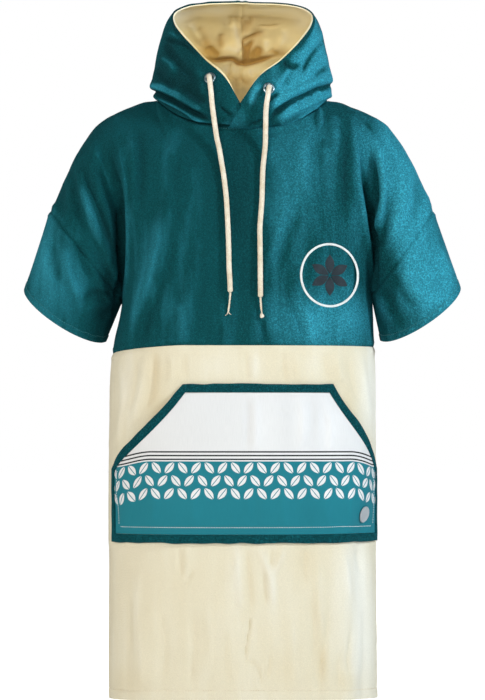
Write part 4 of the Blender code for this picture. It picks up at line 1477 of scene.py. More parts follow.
@dataclass(frozen=True)
class PrintedWeaveFinish:
    """Smooth woven pocket front, printed: white above, three thin lines, a band, plain below.

    The band holds rows of simple leaves. Its cloth coordinates are metres across from the
    middle and down from the shoulders.
    """

    name: str = "pocket_weave"
    white: Colour = (0.765, 0.755, 0.755)
    teal: Colour = (0.012, 0.190, 0.240)
    line: Colour = (0.012, 0.012, 0.014)
    line_top: float = 0.5995
    line_pitch: float = 0.0062
    line_width: float = 0.0024
    band_top: float = 0.6165
    band_foot: float = 0.6810
    leaf_pitch: float = 0.0215
    leaf_rows: float = 0.0215
    leaf_half: float = 0.01188
    leaf_belly: float = 0.0058
    leaf_tilt: float = 38.0
    vein: float = 0.0006
    edge_bend: float = 0.010
    edge_from: float = 0.165
    edge_width: float = 0.07
    painted_light_share: float = 0.13
    middle: float = 0.017

    def bent_drop(self, graph: Graph, across: Socket, down: Socket) -> Socket:
        """Drop on the print, which bends down at both ends: a smooth step of the distance out.

        Args:
            graph: The material's graph.
            across: Cloth coordinate across.
            down: Cloth coordinate down.

        Returns:
            The drop.
        """
        out = graph.math("ABSOLUTE", graph.minus(across, self.middle))
        bend = graph.between(out, self.edge_from, self.edge_from + self.edge_width, 0.0,
                             self.edge_bend)
        return graph.minus(down, bend)

    def lines(self, graph: Graph, drop: Socket) -> Socket:
        """1 on each of the three lines.

        Args:
            graph: The material's graph.
            drop: Drop on the print.

        Returns:
            The mask.
        """
        rows = graph.math("DIVIDE", graph.minus(drop, self.line_top), self.line_pitch)
        wide = self.line_width / self.line_pitch
        inside = graph.math("LESS_THAN", graph.math("FRACT", rows), wide)
        above = graph.math("GREATER_THAN", rows, 0.0)
        return graph.times(inside, graph.times(above, graph.math("LESS_THAN", rows, 2.0 + wide)))

    def leaves(self, graph: Graph, across: Socket, drop: Socket) -> Socket:
        """1 on the leaves: lens shapes in staggered rows, leaning one way and then the other.

        In its own cell a leaf is where |b| is under the belly times 1 - a^2 over its length,
        but for a thin vein along its middle.

        Args:
            graph: The material's graph.
            across: Cloth coordinate across.
            drop: Drop on the print.

        Returns:
            The mask.
        """
        down = graph.math("DIVIDE", graph.minus(drop, self.band_top), self.leaf_rows)
        odd = graph.math("MODULO", graph.math("FLOOR", down), 2.0)
        shifted = graph.plus(graph.times(odd, 0.5),
                             graph.math("DIVIDE", across, self.leaf_pitch))
        turned = graph.math("PINGPONG", graph.math("FLOOR", shifted), 1.0)
        lean = graph.plus(graph.times(turned, 2.0), -1.0)
        x = graph.times(graph.minus(graph.math("FRACT", shifted), 0.5), self.leaf_pitch)
        z = graph.times(graph.minus(graph.math("FRACT", down), 0.5), self.leaf_rows)
        z = graph.times(z, lean)
        sine, cosine = (turn(math.radians(self.leaf_tilt)) for turn in (math.sin, math.cos))
        a = graph.plus(graph.times(x, sine), graph.times(z, cosine))
        b = graph.math("ABSOLUTE", graph.minus(graph.times(x, cosine), graph.times(z, sine)))
        length = graph.math("DIVIDE", a, self.leaf_half)
        belly = graph.times(graph.minus(1.0, graph.times(length, length)), self.leaf_belly)
        inside = graph.math("LESS_THAN", b, belly)
        return graph.times(inside, graph.math("GREATER_THAN", b, self.vein))

    def build(self, weave: Tree) -> Material:
        """The material, from the shared effect of plain weave.

        Args:
            weave: The effect.

        Returns:
            The material.
        """
        graph = Graph.finish(self.name, roughness=0.62, specular_ior_level=0.15)
        flat = graph.add("UVMap", uv_map="cloth")
        across = graph.add("SeparateXYZ", {0: flat})
        drop = self.bent_drop(graph, across, across.node.outputs[1])
        below = graph.math("GREATER_THAN", drop, self.band_top)
        on_band = graph.times(below, graph.math("LESS_THAN", drop, self.band_foot))
        leaves = graph.times(self.leaves(graph, across, drop), on_band)
        ground = graph.mix(below, opaque(self.white), opaque(self.teal))
        leafy = graph.mix(leaves, ground, opaque(self.white))
        lined = graph.mix(self.lines(graph, drop), leafy, opaque(self.line))
        threads = graph.effect(weave, {"Place": flat, "Count": 3900.0})
        # Brighter or darker by the mesh's tone: painted light and shade on the pocket's wrinkles.
        shaded = graph.times(graph.between(threads["Threads"], 0.0, 0.7, 0.92, 1.0),
                             graph.plus(graph.times(graph.tone(), self.painted_light_share), 1.0))
        colour = graph.mix(1.0, lined, shaded, "MULTIPLY")
        return graph.dressed(colour, threads["Height"], 0.00012)


@dataclass(frozen=True)
class BraidFinish:
    """Cotton braid or thread, with fibres along it, darker where the fine relief is low."""

    name: str
    light: Colour
    deep: Colour
    fibres: float = 1500.0

    def build(self) -> Material:
        """Build the material.

        Returns:
            The material.
        """
        graph = Graph.finish(self.name, roughness=0.8, sheen_weight=0.2, sheen_roughness=0.5,
                             specular_ior_level=0.25)
        place = graph.place()
        fine = graph.noise(graph.stretched(place, 0.3), self.fibres, 3.0, 0.6)
        share = graph.plus(graph.times(fine, 0.6), graph.times(graph.noise(place, 60.0), 0.4))
        colour = graph.mix(graph.between(share, 0.35, 0.65), opaque(self.deep),
                           opaque(self.light))
        return graph.dressed(colour, fine, 0.00018)


@dataclass(frozen=True)
class SteelFinish:
    """Plated eyelet: satin metal with fine scratches and dulled patches."""

    name: str = "eyelet_metal"
    colour: Colour = (0.34, 0.44, 0.48)
    dull: Colour = (0.16, 0.24, 0.27)

    def build(self) -> Material:
        """Build the material.

        Returns:
            The material.
        """
        graph = Graph.finish(self.name, metallic=1.0)
        place = graph.place()
        scratches = graph.noise(graph.stretched(place, 5.0), 900.0, 3.0)
        patches = graph.between(graph.noise(place, 180.0, 3.0), 0.4, 0.7)
        graph.feed(graph.shader(), {"Roughness": graph.between(scratches, 0.3, 0.7, 0.22, 0.42)})
        return graph.dressed(graph.mix(patches, opaque(self.colour), opaque(self.dull)),
                             scratches, 0.00003)


@dataclass(frozen=True)
class RubberFinish:
    """Moulded patch: matt rubber with fine grain."""

    name: str
    colour: Colour
    roughness: float = 0.55
    spread: float = 0.08

    def build(self) -> Material:
        """Build the material.

        Returns:
            The material.
        """
        graph = Graph.finish(self.name, specular_ior_level=0.4)
        grain = graph.noise(graph.place(), 2200.0, 2.0)
        lighter = tuple(min(1.0, part * 1.12) for part in self.colour)
        uneven = graph.between(grain, 0.2, 0.8, self.roughness - self.spread,
                               self.roughness + self.spread)
        graph.feed(graph.shader(), {"Roughness": uneven})
        return graph.dressed(graph.mix(grain, opaque(self.colour), opaque(lighter)), grain,
                             0.00004)


def build_finishes() -> Finishes:
    """Every finish of the poncho, by its plain name.

    Returns:
        The materials.
    """
    pile = make_pile_effect()
    finishes = {
        "teal": TerryFinish("teal_terry_cloth", (0.005, 0.048, 0.053), (0.0065, 0.104, 0.118),
                            (0.052, 0.440, 0.590)).build(pile),
        "binding": TerryFinish("teal_terry_binding", (0.003, 0.040, 0.046), (0.006, 0.092, 0.108),
                               (0.014, 0.160, 0.190), shaded_side_specks=0.25, fineness=420.0,
                               depth=0.0016).build(pile),
        "cream": TerryFinish("cream_terry_cloth", (0.75, 0.635, 0.43), (0.80, 0.720, 0.545),
                             (0.90, 0.865, 0.765), 0.015, 0.03, 0.94, 0.11, 800.0, 460.0,
                             0.0004, 0.05, (1.0, 0.96, 0.88)).build(pile),
        "lining": LiningFinish().build(pile, make_stain_effect()),
        "weave": PrintedWeaveFinish().build(make_weave_effect()),
    }
    for name, light, deep in (
            ("cream_braid", (0.86, 0.79, 0.66), (0.66, 0.54, 0.38)),
            ("white_thread", (0.86, 0.87, 0.85), (0.66, 0.68, 0.67)),
            ("dark_thread", (0.020, 0.035, 0.045), (0.008, 0.014, 0.020)),
            ("teal_thread", (0.035, 0.22, 0.25), (0.016, 0.12, 0.14)),
            ("cream_thread", (0.84, 0.77, 0.62), (0.62, 0.50, 0.34))):
        finishes[name] = BraidFinish(name, light, deep).build()
    finishes["steel"] = SteelFinish().build()
    finishes["rubber"] = RubberFinish("grey_rubber", (0.36, 0.38, 0.40)).build()
    # Near-black cup for the eyelet holes: painted shade.
    finishes["bore"] = RubberFinish("dark_bore", (0.010, 0.020, 0.022), 0.8).build()
    return finishes


# ---- Creases, in millimetres: half width, height, lean, then the path ----

CHEST_CREASES = creases(
    (5, -10, 0.3, -227, -83, -220, -120, -213, -160, -211, -203, -210, -255, -212, -306, -218,
     -358, -224, -401),
    (4, 4, -0.2, -218, -65, -208, -93, -201, -127, -196, -172, -194, -220, -195, -275, -200, -327,
     -208, -384),
    (8, -3, 0, -177, -31, -174, -83, -174, -134, -177, -186),
    (7, 2.6, 0, -191, -48, -187, -100, -184, -160, -186, -220),
    (9, 4.6, -0.3, -141, -189, -144, -234, -158, -298, -175, -349, -196, -406),
    (8, -3.6, 0, -120, -220, -127, -275, -144, -334, -162, -384, -169, -418),
    (9, 2.4, 0, -114, -341, -103, -375, -96, -418),
    (10, 1.8, 0, -83, -268, -93, -323, -89, -392),
    (8, -2, 0, -107, -83, -114, -151, -107, -237),
    (4, -11, -0.3, 208, -108, 215, -148, 221, -182, 227, -217, 230, -255, 230, -299, 230, -341),
    (4, 4.5, 0.2, 191, -28, 196, -83, 201, -143, 209, -194, 217, -246, 223, -306, 224, -375),
    (6, -3.4, 0, 182, -31, 181, -83, 179, -134, 177, -189),
    (7, 2.8, 0, 160, -17, 162, -65, 160, -117),
    (3.5, 3, 0, 134, -7, 135, -24, 136, -45),
    (3, -2.6, 0, 126, -10, 126, -28, 129, -45),
    (9, 2.6, 0, 117, -40, 107, -100, 110, -177),
    (7, -2, 0, 138, -48, 134, -108, 144, -194),
    (8, 2.2, 0, 83, -160, 62, -229, 41, -298),
    (8, -2.4, 0, 100, -189, 83, -237, 65, -298),
    (8, -1.8, 0, 45, -169, 34, -255, 24, -323),
    (10, 2.2, 0, 179, -280, 186, -341, 182, -409),
    (6, -2.6, 0, 88, -341, 96, -372, 110, -409),
    (7, 3, 0, 107, -344, 117, -378, 124, -418),
    (4, -2.6, 0, 34, -372, 38, -392, 45, -418),
    (5, 2.2, 0, 24, -368, 29, -392, 33, -418),
    (5, -2, 0, -34, -384, -38, -401, -38, -420),
    (6, 1.8, 0, 169, -344, 170, -378, 165, -418),
    (10, -1.8, 0, -28, -83, -17, -151, -10, -237),
)

SLEEVE_CREASES = creases(
    (8, 6, 0.3, -282, -131, -272, -165, -258, -203, -239, -251, -222, -292, -206, -330),
    (6, -5.5, 0, -275, -100, -265, -138, -249, -179, -232, -224, -218, -258),
    (6, -4.6, 0, -296, -108, -291, -143, -284, -177, -272, -213),
    (7, 3.6, 0, -258, -65, -246, -96, -230, -131, -222, -169),
    (6, -3.6, 0, -310, -138, -313, -169, -310, -193),
    (7, 3.4, 0, -323, -162, -330, -212, -337, -255, -337, -315),
    (6, -3.2, 0, -327, -237, -320, -275, -313, -313),
    (8, 4, 0.2, -303, -246, -301, -275, -292, -310, -279, -341),
    (6, -3.6, 0, -286, -237, -272, -275, -255, -306),
    (6, 3.6, 0, -248, -306, -237, -327, -224, -351),
    (5, -3.6, 0, -275, -341, -255, -327, -234, -327, -213, -335),
    (6, 2.8, 0, -272, -361, -248, -347, -224, -354),
    (6, -2.8, 0, -244, -378, -230, -361, -215, -354),
    (5, 5, -0.3, 230, -55, 239, -100, 244, -143, 243, -177, 234, -210, 222, -243),
    (5, -6.5, 0, 220, -83, 227, -120, 230, -155, 227, -189),
    (6, -5, 0.2, 253, -151, 251, -186, 244, -224, 232, -261),
    (9, 4.6, 0, 279, -108, 282, -151, 272, -193, 256, -237),
    (7, -3.4, 0, 299, -126, 303, -169, 292, -213),
    (6, 2.8, 0, 313, -151, 316, -182, 310, -213),
    (5, -2.8, 0, 213, -28, 224, -48, 239, -69),
    (5, 3, 0, 224, -17, 241, -34, 258, -58),
    (7, -3.8, 0, 243, -316, 255, -341, 258, -372),
    (8, 4.6, 0, 230, -323, 244, -354, 265, -385),
    (7, 3.4, 0, 279, -286, 292, -313, 313, -341),
    (6, -3.2, 0, 261, -299, 279, -330, 296, -354),
    (6, 3, 0, 334, -248, 347, -275, 361, -306),
    (6, -2.6, 0, 320, -265, 334, -296, 344, -323),
)

LOWER_CREASES = creases(
    (6, 3.2, 0, -10, -762, -7, -805, -3, -848, -2, -882),
    (5, -2.8, 0, 7, -762, 10, -805, 14, -848, 14, -877),
    (2.4, -3.4, 0, 14, -877, 12, -905, 7, -934, 5, -963),
    (3, -2.6, 0, 5, -960, 21, -967, 29, -982, 34, -1008),
    (6, 4, 0, 28, -764, 38, -788, 48, -814, 52, -843, 55, -877),
    (5, 3, 0, 72, -767, 64, -791, 53, -815),
    (4, -3.2, 0, 52, -767, 50, -784, 48, -802),
    (5, -3, 0, 36, -805, 38, -836, 41, -867),
    (6, -3.4, 0, 110, -762, 107, -796, 110, -839),
    (8, 4, 0.3, 131, -771, 132, -839, 141, -925, 151, -1011),
    (6, -4.4, 0, 148, -857, 146, -908, 138, -960, 134, -1015),
    (6, -3, 0, 119, -839, 124, -908, 127, -977),
    (5, 3.2, 0, 175, -774, 181, -814, 186, -857),
    (3, -3.6, 0, 189, -900, 186, -934, 182, -963, 189, -991),
    (6, 3.2, 0, 200, -857, 200, -925, 196, -1011),
    (4, -2.8, 0, 198, -767, 201, -791, 208, -814),
    (5, -2.6, 0, 169, -943, 165, -977, 172, -1011),
    (2.4, -2.8, 0, -84, -805, -91, -819, -96, -836),
    (4, -2.2, 0, -108, -762, -107, -788, -105, -814),
    (5, 2.2, 0, -96, -762, -93, -791, -100, -822),
    (8, 2.6, 0, -175, -788, -182, -874, -175, -960, -172, -1011),
    (7, -2.4, 0, -198, -839, -193, -908, -196, -1011),
    (8, 2.4, 0, -62, -857, -55, -925, -62, -1011),
    (7, -2.2, 0, -86, -874, -83, -943, -89, -1011),
    (7, -2, 0, -28, -900, -29, -960, -24, -1011),
    (8, 2.4, 0, 86, -891, 89, -951, 96, -1011),
    (4, -2.8, 0, 48, -951, 45, -974, 41, -994),
    (6, -2.2, 0, -141, -857, -134, -943, -141, -1011),
    (5, -3.6, 0, -150, -427, -151, -464, -155, -499, -165, -533),
    (7, 3.4, 0, -167, -430, -170, -470, -179, -513, -193, -561),
    (5, -3, 0, -182, -437, -187, -487, -200, -538),
    (7, 3, 0, -210, -444, -203, -504, -210, -564, -206, -607),
    (6, 2.6, 0, -124, -430, -120, -458, -124, -492),
    (5, -2.2, 0, -101, -430, -100, -458, -96, -485),
    (6, 2.4, 0, 21, -427, 22, -454, 21, -482),
    (5, -2.2, 0, 5, -427, 7, -454, 7, -482),
    (5, -2.4, 0, 69, -427, 71, -458, 76, -488),
    (7, 2.6, 0, 91, -427, 96, -454, 103, -485),
    (5, -2.4, 0, 138, -430, 144, -461, 155, -488),
    (6, 3, 0, 160, -427, 169, -471, 186, -519),
    (5, -3.2, 0, 182, -430, 189, -478, 203, -533, 210, -581),
    (6, 3.4, 0, 203, -430, 213, -495, 222, -564),
)

BACK_CREASES = creases(
    (10, 2.6, 0, -160, -100, -150, -170, -158, -250),
    (8, -2.4, 0, -136, -110, -128, -180, -132, -260),
    (10, 2.4, 0, 150, -95, 142, -170, 150, -245),
    (8, -2.2, 0, 126, -120, 118, -190, 124, -270),
    (9, 2.2, 0, -60, -60, -20, -78, 30, -80, 80, -62),
    (8, -2.0, 0, -70, -84, -20, -104, 34, -106, 90, -86),
    (9, 2.6, 0, -196, -320, -170, -370, -150, -430),
    (9, 2.6, 0, 190, -310, 168, -365, 150, -420),
    (12, 2.2, 0, -40, -300, -46, -380, -38, -460),
    (12, -2.2, 0, 50, -340, 44, -430, 52, -520),
    (12, 2.8, 0, -110, -520, -104, -640, -112, -760),
    (11, -2.4, 0, -70, -620, -64, -760, -72, -900),
    (12, 2.6, 0, 10, -560, 16, -700, 8, -860),
    (12, 2.6, 0, 90, -600, 98, -760, 90, -920),
    (9, -2.2, 0, 130, -560, 124, -700, 132, -840),
    (10, 2.8, 0, -160, -780, -154, -880, -162, -1010),
    (9, 2.0, 0, -20, -880, -14, -950, -22, -1015),
    (9, -2.0, 0, 50, -860, 56, -940, 50, -1015),
    (10, 2.6, 0, 160, -820, 154, -920, 162, -1015),
    (8, 3.0, 0, -270, -130, -262, -200, -242, -270),
    (8, -2.2, 0, -300, -190, -296, -250, -280, -320),
    (8, 3.0, 0, 268, -130, 262, -195, 244, -268),
    (8, -2.2, 0, 302, -180, 298, -245, 282, -315),
    (8, 2.2, 0, -330, -240, -322, -290, -300, -350),
    (8, 2.2, 0, 332, -235, 324, -288, 302, -348),
)

HOOD_CREASES = creases(
    (3, -2.6, 0, -136, 110, -122, 106, -107, 102, -95, 96, -81, 84),
    (5, 2, 0, -132, 122, -117, 117, -100, 110, -84, 96),
    (5, -2.4, 0, -136, 101, -127, 91, -119, 81, -107, 71),
    (6, 2.6, 0, -141, 77, -131, 72, -120, 62, -114, 45),
    (5, -2.2, 0, -150, 58, -138, 45, -127, 33, -115, 17),
    (5, -1.8, 0, -115, 72, -100, 58, -86, 38),
    (3.6, -7.5, 0.2, -162, 19, -148, 15, -131, 7, -110, -3, -89, -15, -72, -24, -55, -33),
    (8, 4.5, 0, -165, 28, -148, 26, -127, 19, -103, 7, -79, -7, -58, -17),
    (3.6, 4.2, 0, -155, 10, -136, 4, -117, -5, -96, -16, -77, -28, -60, -35),
    (2.6, -2.2, 0, -134, 10, -124, 7, -114, 5),
    (7, -2, 0, -96, 24, -79, 9, -64, -3),
    (6, 1.8, 0, -79, 62, -69, 38, -67, 10),
    (3, -2.2, 0, -40, -7, -26, -17, -15, -24),
    (4.5, -9, -0.2, 162, 31, 148, 28, 132, 24, 119, 17, 103, 9, 86, 1, 72, -9, 60, -19, 53, -29),
    (9, 5, 0, 158, 41, 141, 36, 120, 29, 100, 21, 79, 10, 60, -3),
    (5, 4.5, 0, 158, 14, 141, 9, 120, 0, 103, -9, 86, -17, 67, -29),
    (3, -3.2, 0, 162, 4, 151, 3, 139, -3),
    (2.6, 3, 0, 107, 15, 112, 5, 117, -7),
    (2.6, 2.8, 0, 95, 9, 98, -3, 96, -14),
    (2.6, -2.6, 0, 119, 17, 124, 7, 127, -3),
    (4, -3, 0, 43, -2, 53, 8, 67, 17),
    (5, -3.2, 0, 71, 76, 79, 65, 91, 61, 103, 69),
    (4, 2.6, 0, 83, 60, 74, 46, 65, 33, 57, 21),
    (5, 2.6, 0, 136, 117, 120, 98, 105, 79, 95, 55),
    (4, -2.4, 0, 139, 103, 124, 84, 112, 65, 105, 48),
    (5, 2.2, 0, 144, 79, 129, 69, 114, 52, 100, 34),
    (5, -2.2, 0, 150, 62, 136, 52, 122, 38),
    (6, 2.2, 0, 34, 31, 21, 14, 14, -7),
    (3, -2.4, 0, 34, -29, 26, -36, 14, -40),
)

HOOD_BACK_CREASES = creases(
    (10, -3.0, 0, -120, 60, -60, 40, 0, 34, 70, 42, 124, 62),
    (12, 3.0, 0, -110, 90, -56, 70, 0, 62, 60, 70, 112, 92),
    (9, 2.4, 0, -96, 120, -70, 100, -54, 74),
    (9, -2.4, 0, 84, 124, 62, 100, 48, 76),
    (9, 2.0, 0, -30, 150, -24, 122, -34, 92),
    (9, 2.2, 0, 34, 150, 26, 120, 36, 90),
)

# On the lining the heights stand out into the hood's hollow.
LINING_CREASES = creases(
    (4.6, -11, 0, -65, 72, -53, 70, -40, 70, -28, 72, -17, 71, -7, 64, 9, 64, 24, 67, 41, 72, 58,
     77, 79, 81),
    (10, 5, 0, -62, 52, -38, 53, -14, 50, 10, 46, 34, 53, 62, 62),
    (9, 6, 0, -41, 96, -21, 95, -3, 86),
    (5, -9.5, -0.3, 24, 114, 15, 100, 11, 86, 10, 72, 9, 62),
    (7, -6, 0, 34, 100, 28, 86, 21, 72),
    (4, -6, 0, 38, 129, 28, 121, 14, 115, 3, 107, 5, 96, 10, 86),
    (8, 5, 0, 45, 117, 45, 100, 52, 86),
    (7, 5, 0, -10, 151, -12, 131, -9, 110, -2, 89),
    (6, -4, 0, 10, 155, 9, 138, 3, 122),
    (7, -6.5, 0, -62, 100, -55, 88, -43, 77),
    (6, -4.5, 0, -34, 127, -38, 110, -34, 93),
    (5, -4, 0, 52, 96, 60, 88, 72, 83),
    (3, -3, 0, 28, 141, 48, 140, 67, 144),
    (7, 3, 0, 76, 138, 79, 120, 72, 100),
    (3.4, -3, 0, -22, 162, -19, 151, -26, 136),
    (3.4, -3, 0, -11, 162, -10, 150, -7, 134),
    (3.4, -3, 0, 3, 161, -1, 148, 5, 130),
    (3.4, -3, 0, 16, 162, 18, 150, 12, 136),
    (7, -3, 0, -79, 141, -72, 120, -62, 100),
    (8, 3.4, 0, -96, 148, -86, 131, -72, 110),
    (2.4, -2.6, 0, -21, 69, -21, 55, -22, 43, -29, 33),
    (4, -3.4, 0, 2, 57, -2, 43, 3, 28, 17, 17),
    (5, 3.4, 0, 14, 55, 17, 41, 24, 31),
    (5, 3, 0, -31, 55, -28, 38, -17, 21),
    (3, -2.4, 0, -10, 38, -10, 24, -7, 10),
)

POCKET_CREASES = creases(
    (7, 2.6, 0, 22, -499, 24, -556, 22, -607),
    (5, -1.8, 0, 7, -502, 9, -556, 7, -599),
    (7, 2.8, 0, 100, -506, 105, -547, 101, -599),
    (5, -2.2, 0, 117, -506, 122, -547, 119, -595),
    (5, 2.4, 0, 150, -530, 153, -568, 150, -607),
    (3, -2.2, 0, 58, -531, 69, -533, 79, -538),
    (5, -2, 0, 138, -526, 141, -564, 138, -602),
    (8, 2.2, 0, 76, -630, 69, -685, 76, -736),
    (7, -2, 0, 108, -633, 117, -685, 112, -736),
    (8, 2.6, 0, 151, -633, 144, -685, 151, -740),
    (6, -2.4, 0, 174, -647, 169, -693, 174, -736),
    (6, 2.4, 0, 189, -650, 186, -685, 187, -740),
    (8, -1.6, 0, 29, -647, 22, -693, 26, -736),
    (12, 2, 0, -79, -619, -86, -685, -79, -736),
    (9, 2, 0, -160, -633, -151, -685, -158, -736),
    (7, -1.8, 0, -186, -633, -179, -685, -186, -736),
)

# Painted light and shade on the teal cloth: x, z, half width, half height in millimetres, and the
# share.
TEAL_PAINTED_LIGHT = (
    (-345, -275, 40, 80, 0.50), (-296, -310, 34, 55, 0.10), (-253, -83, 50, 70, -0.20),
    (-141, -255, 26, 90, 0.10), (-158, -384, 28, 31, -0.10), (-190, -150, 25, 70, -0.20),
    (-29, -108, 43, 103, -0.30), (5, -177, 24, 129, -0.40), (108, -108, 58, 86, 0.40),
    (83, -229, 41, 77, 0.20), (177, -108, 14, 83, -0.40), (125, -380, 75, 52, 0.75),
    (203, -375, 22, 52, 0.45), (22, -341, 22, 69, -0.15), (83, -323, 15, 77, -0.15),
    (285, -190, 75, 150, 0.80), (338, -315, 45, 55, 0.90), (225, -240, 16, 110, -0.90),
    (-228, -262, 18, 105, -0.70), (-238, -352, 26, 45, -0.45), (268, -378, 28, 21, -0.15),
    (245, -75, 45, 60, 0.50), (256, -290, 15, 60, -0.55), (66, -190, 40, 150, 0.15),
)

# Painted light and shade on the hood: x, z, half width, half height in millimetres, and the share.
HOOD_PAINTED_LIGHT = (
    (-141, 72, 60, 100, -0.45), (-81, 12, 52, 52, -0.55), (-115, 124, 24, 34, -0.20),
    (138, 69, 42, 85, 1.10), (96, 21, 38, 38, 0.65), (34, -3, 24, 45, -0.25),
    (138, 7, 31, 21, 0.35), (80, 2, 30, 22, 0.62), (-89, -5, 40, 30, -0.40),
)

# Painted light and shade on the cream cloth: x, z, half width, half height in millimetres, and the
# share.
CREAM_PAINTED_LIGHT = (
    (-151, -470, 15, 52, -0.65), (-138, -533, 28, 28, -0.85), (-196, -487, 22, 69, 0.35),
    (-115, -461, 17, 28, -0.2), (-46, -454, 34, 24, 0.25), (21, -454, 14, 28, 0.5),
    (83, -468, 21, 24, -0.3), (120, -454, 17, 24, 0.25), (158, -471, 12, 41, -0.35),
    (184, -538, 12, 52, -0.7), (213, -592, 9, 21, -0.6), (224, -504, 20, 110, 1.00),
    (108, -788, 21, 31, -0.4), (136, -963, 12, 52, -0.45), (72, -980, 28, 34, -0.3),
    (14, -836, 14, 45, -0.3), (-98, -843, 52, 69, -0.15), (-193, -998, 38, 24, -0.35),
    (177, -998, 17, 17, -0.4), (52, -839, 10, 55, 0.4), (-10, -822, 10, 62, 0.35),
    (196, -802, 26, 60, 0.80), (208, -925, 26, 110, 0.90), (-55, -960, 52, 52, -0.1),
    (162, -874, 14, 86, 0.35),
)

# Painted light and shade on the lining: x, z, half width, half height in millimetres, and the
# share.
LINING_PAINTED_LIGHT = (
    (-106, 148, 24, 18, 0.90), (-60, 160, 50, 9, 0.55), (108, 144, 18, 18, 0.60),
    (65, 161, 58, 7, 0.40), (-3, 31, 38, 28, -0.35), (-58, 85, 26, 24, -0.80),
    (24, 81, 15, 15, -0.75), (69, 86, 21, 9, -0.50), (-12, 115, 21, 34, 0.15),
)

# Painted light and shade on the pocket panel: x, z, half width, half height in millimetres, and
# the share.
POCKET_PAINTED_LIGHT = (
    (34, -556, 28, 58, 0.35), (100, -547, 15, 52, 0.45), (151, -564, 21, 45, 0.6),
    (-72, -564, 52, 41, -0.15), (79, -547, 14, 45, -0.25), (127, -547, 10, 45, -0.3),
    (10, -547, 9, 52, -0.2), (160, -693, 24, 45, 0.5), (189, -693, 17, 48, 0.35),
    (74, -710, 24, 34, 0.3), (117, -710, 15, 34, -0.25), (-72, -710, 58, 28, 0.15),
)

TEAL_RUMPLE = Rumple(CHEST_CREASES + SLEEVE_CREASES, BACK_CREASES, 0.0018, 0.0007,
                     strength=1.25)
CREAM_RUMPLE = Rumple(LOWER_CREASES, BACK_CREASES, 0.0018, 0.0005, strength=1.05)
HOOD_RUMPLE = Rumple(HOOD_CREASES, HOOD_BACK_CREASES, 0.0016, 0.0012, side_from=-0.035,
                     strength=1.7)
POCKET_RUMPLE = Rumple(POCKET_CREASES, (), 0.0009, 0.00035)


def edge_reach(points: Array, axis: int, last: bool) -> Array:
    """Length walked over a grid from its first or last row or column, at each point.

    Args:
        points: Grid of points.
        axis: 0 to walk down the rows, 1 across the columns.
        last: Whether the walk starts at the last one.

    Returns:
        One length for each point.
    """
    lengths = np.linalg.norm(np.diff(points, axis=axis), axis=-1)
    if last:
        lengths = np.flip(lengths, axis=axis)
    walked = np.insert(np.cumsum(lengths, axis=axis), 0, 0.0, axis=axis)
    return np.flip(walked, axis=axis) if last else walked


def reaches(points: Array) -> tuple[Array, ...]:
    """Length walked at each point from the first row, last row, first column and last column."""
    return tuple(edge_reach(points, axis, last) for axis in (0, 1) for last in (False, True))


@dataclass(frozen=True)
class Seam:
    """Sewn edge: the cloth dips into it, stands plump beside it and puckers a little."""

    depth: float = 0.0016
    width: float = 0.0032
    plump: float = 0.0007
    plump_at: float = 0.0075
    pucker: float = 0.0007
    pucker_reach: float = 0.014

    def height(self, reach: Array, points: Array) -> Array:
        """Rise at each distance from the seam: a dip, a low ridge beside it and small puckers.

        Args:
            reach: Distance from the seam.
            points: Places on the cloth.

        Returns:
            One height for each point.
        """
        dip = -self.depth * np.exp(-(reach / self.width) ** 2)
        ridge = self.plump * np.exp(-((reach - self.plump_at) / self.width) ** 2)
        uneven = wander(points, (0.011, 0.011, 0.011), 19)
        return dip + ridge + self.pucker * uneven * np.exp(-reach / self.pucker_reach)


@dataclass(frozen=True)
class TurnedHem:
    """Hem turned in and stitched down: a thicker band with a pulled-in stitch line."""

    depth: float = 0.0165
    thicker: float = 0.0008
    groove: float = 0.0010
    groove_width: float = 0.0016
    pucker: float = 0.0006

    def height(self, reach: Array, points: Array) -> Array:
        """Rise at each distance from the edge: a band, a groove and uneven pulls along it.

        Args:
            reach: Distance from the edge.
            points: Places on the cloth.

        Returns:
            One height for each point.
        """
        band = self.thicker * (1 - step(self.depth - 0.002, self.depth + 0.003, reach))
        from_line = (reach - self.depth) / self.groove_width
        uneven = wander(points, (0.009, 0.009, 0.02), 23)
        beside = np.exp(-((reach - self.depth) / 0.010) ** 2)
        return band - self.groove * np.exp(-from_line ** 2) + self.pucker * uneven * beside

    def levels(self, length: float, gap: float) -> Array:
        """Shares of a length from the edge inwards, closer together around the stitch line."""
        close = np.arange(0.0, self.depth + 0.006, 0.0018)
        count = round((length - close[-1]) / gap)
        return np.concatenate([close / length, spread(close[-1] / length, 1, count + 1)[1:]])


# ---- Drawstring: it comes first, because the cloth makes room for it ----


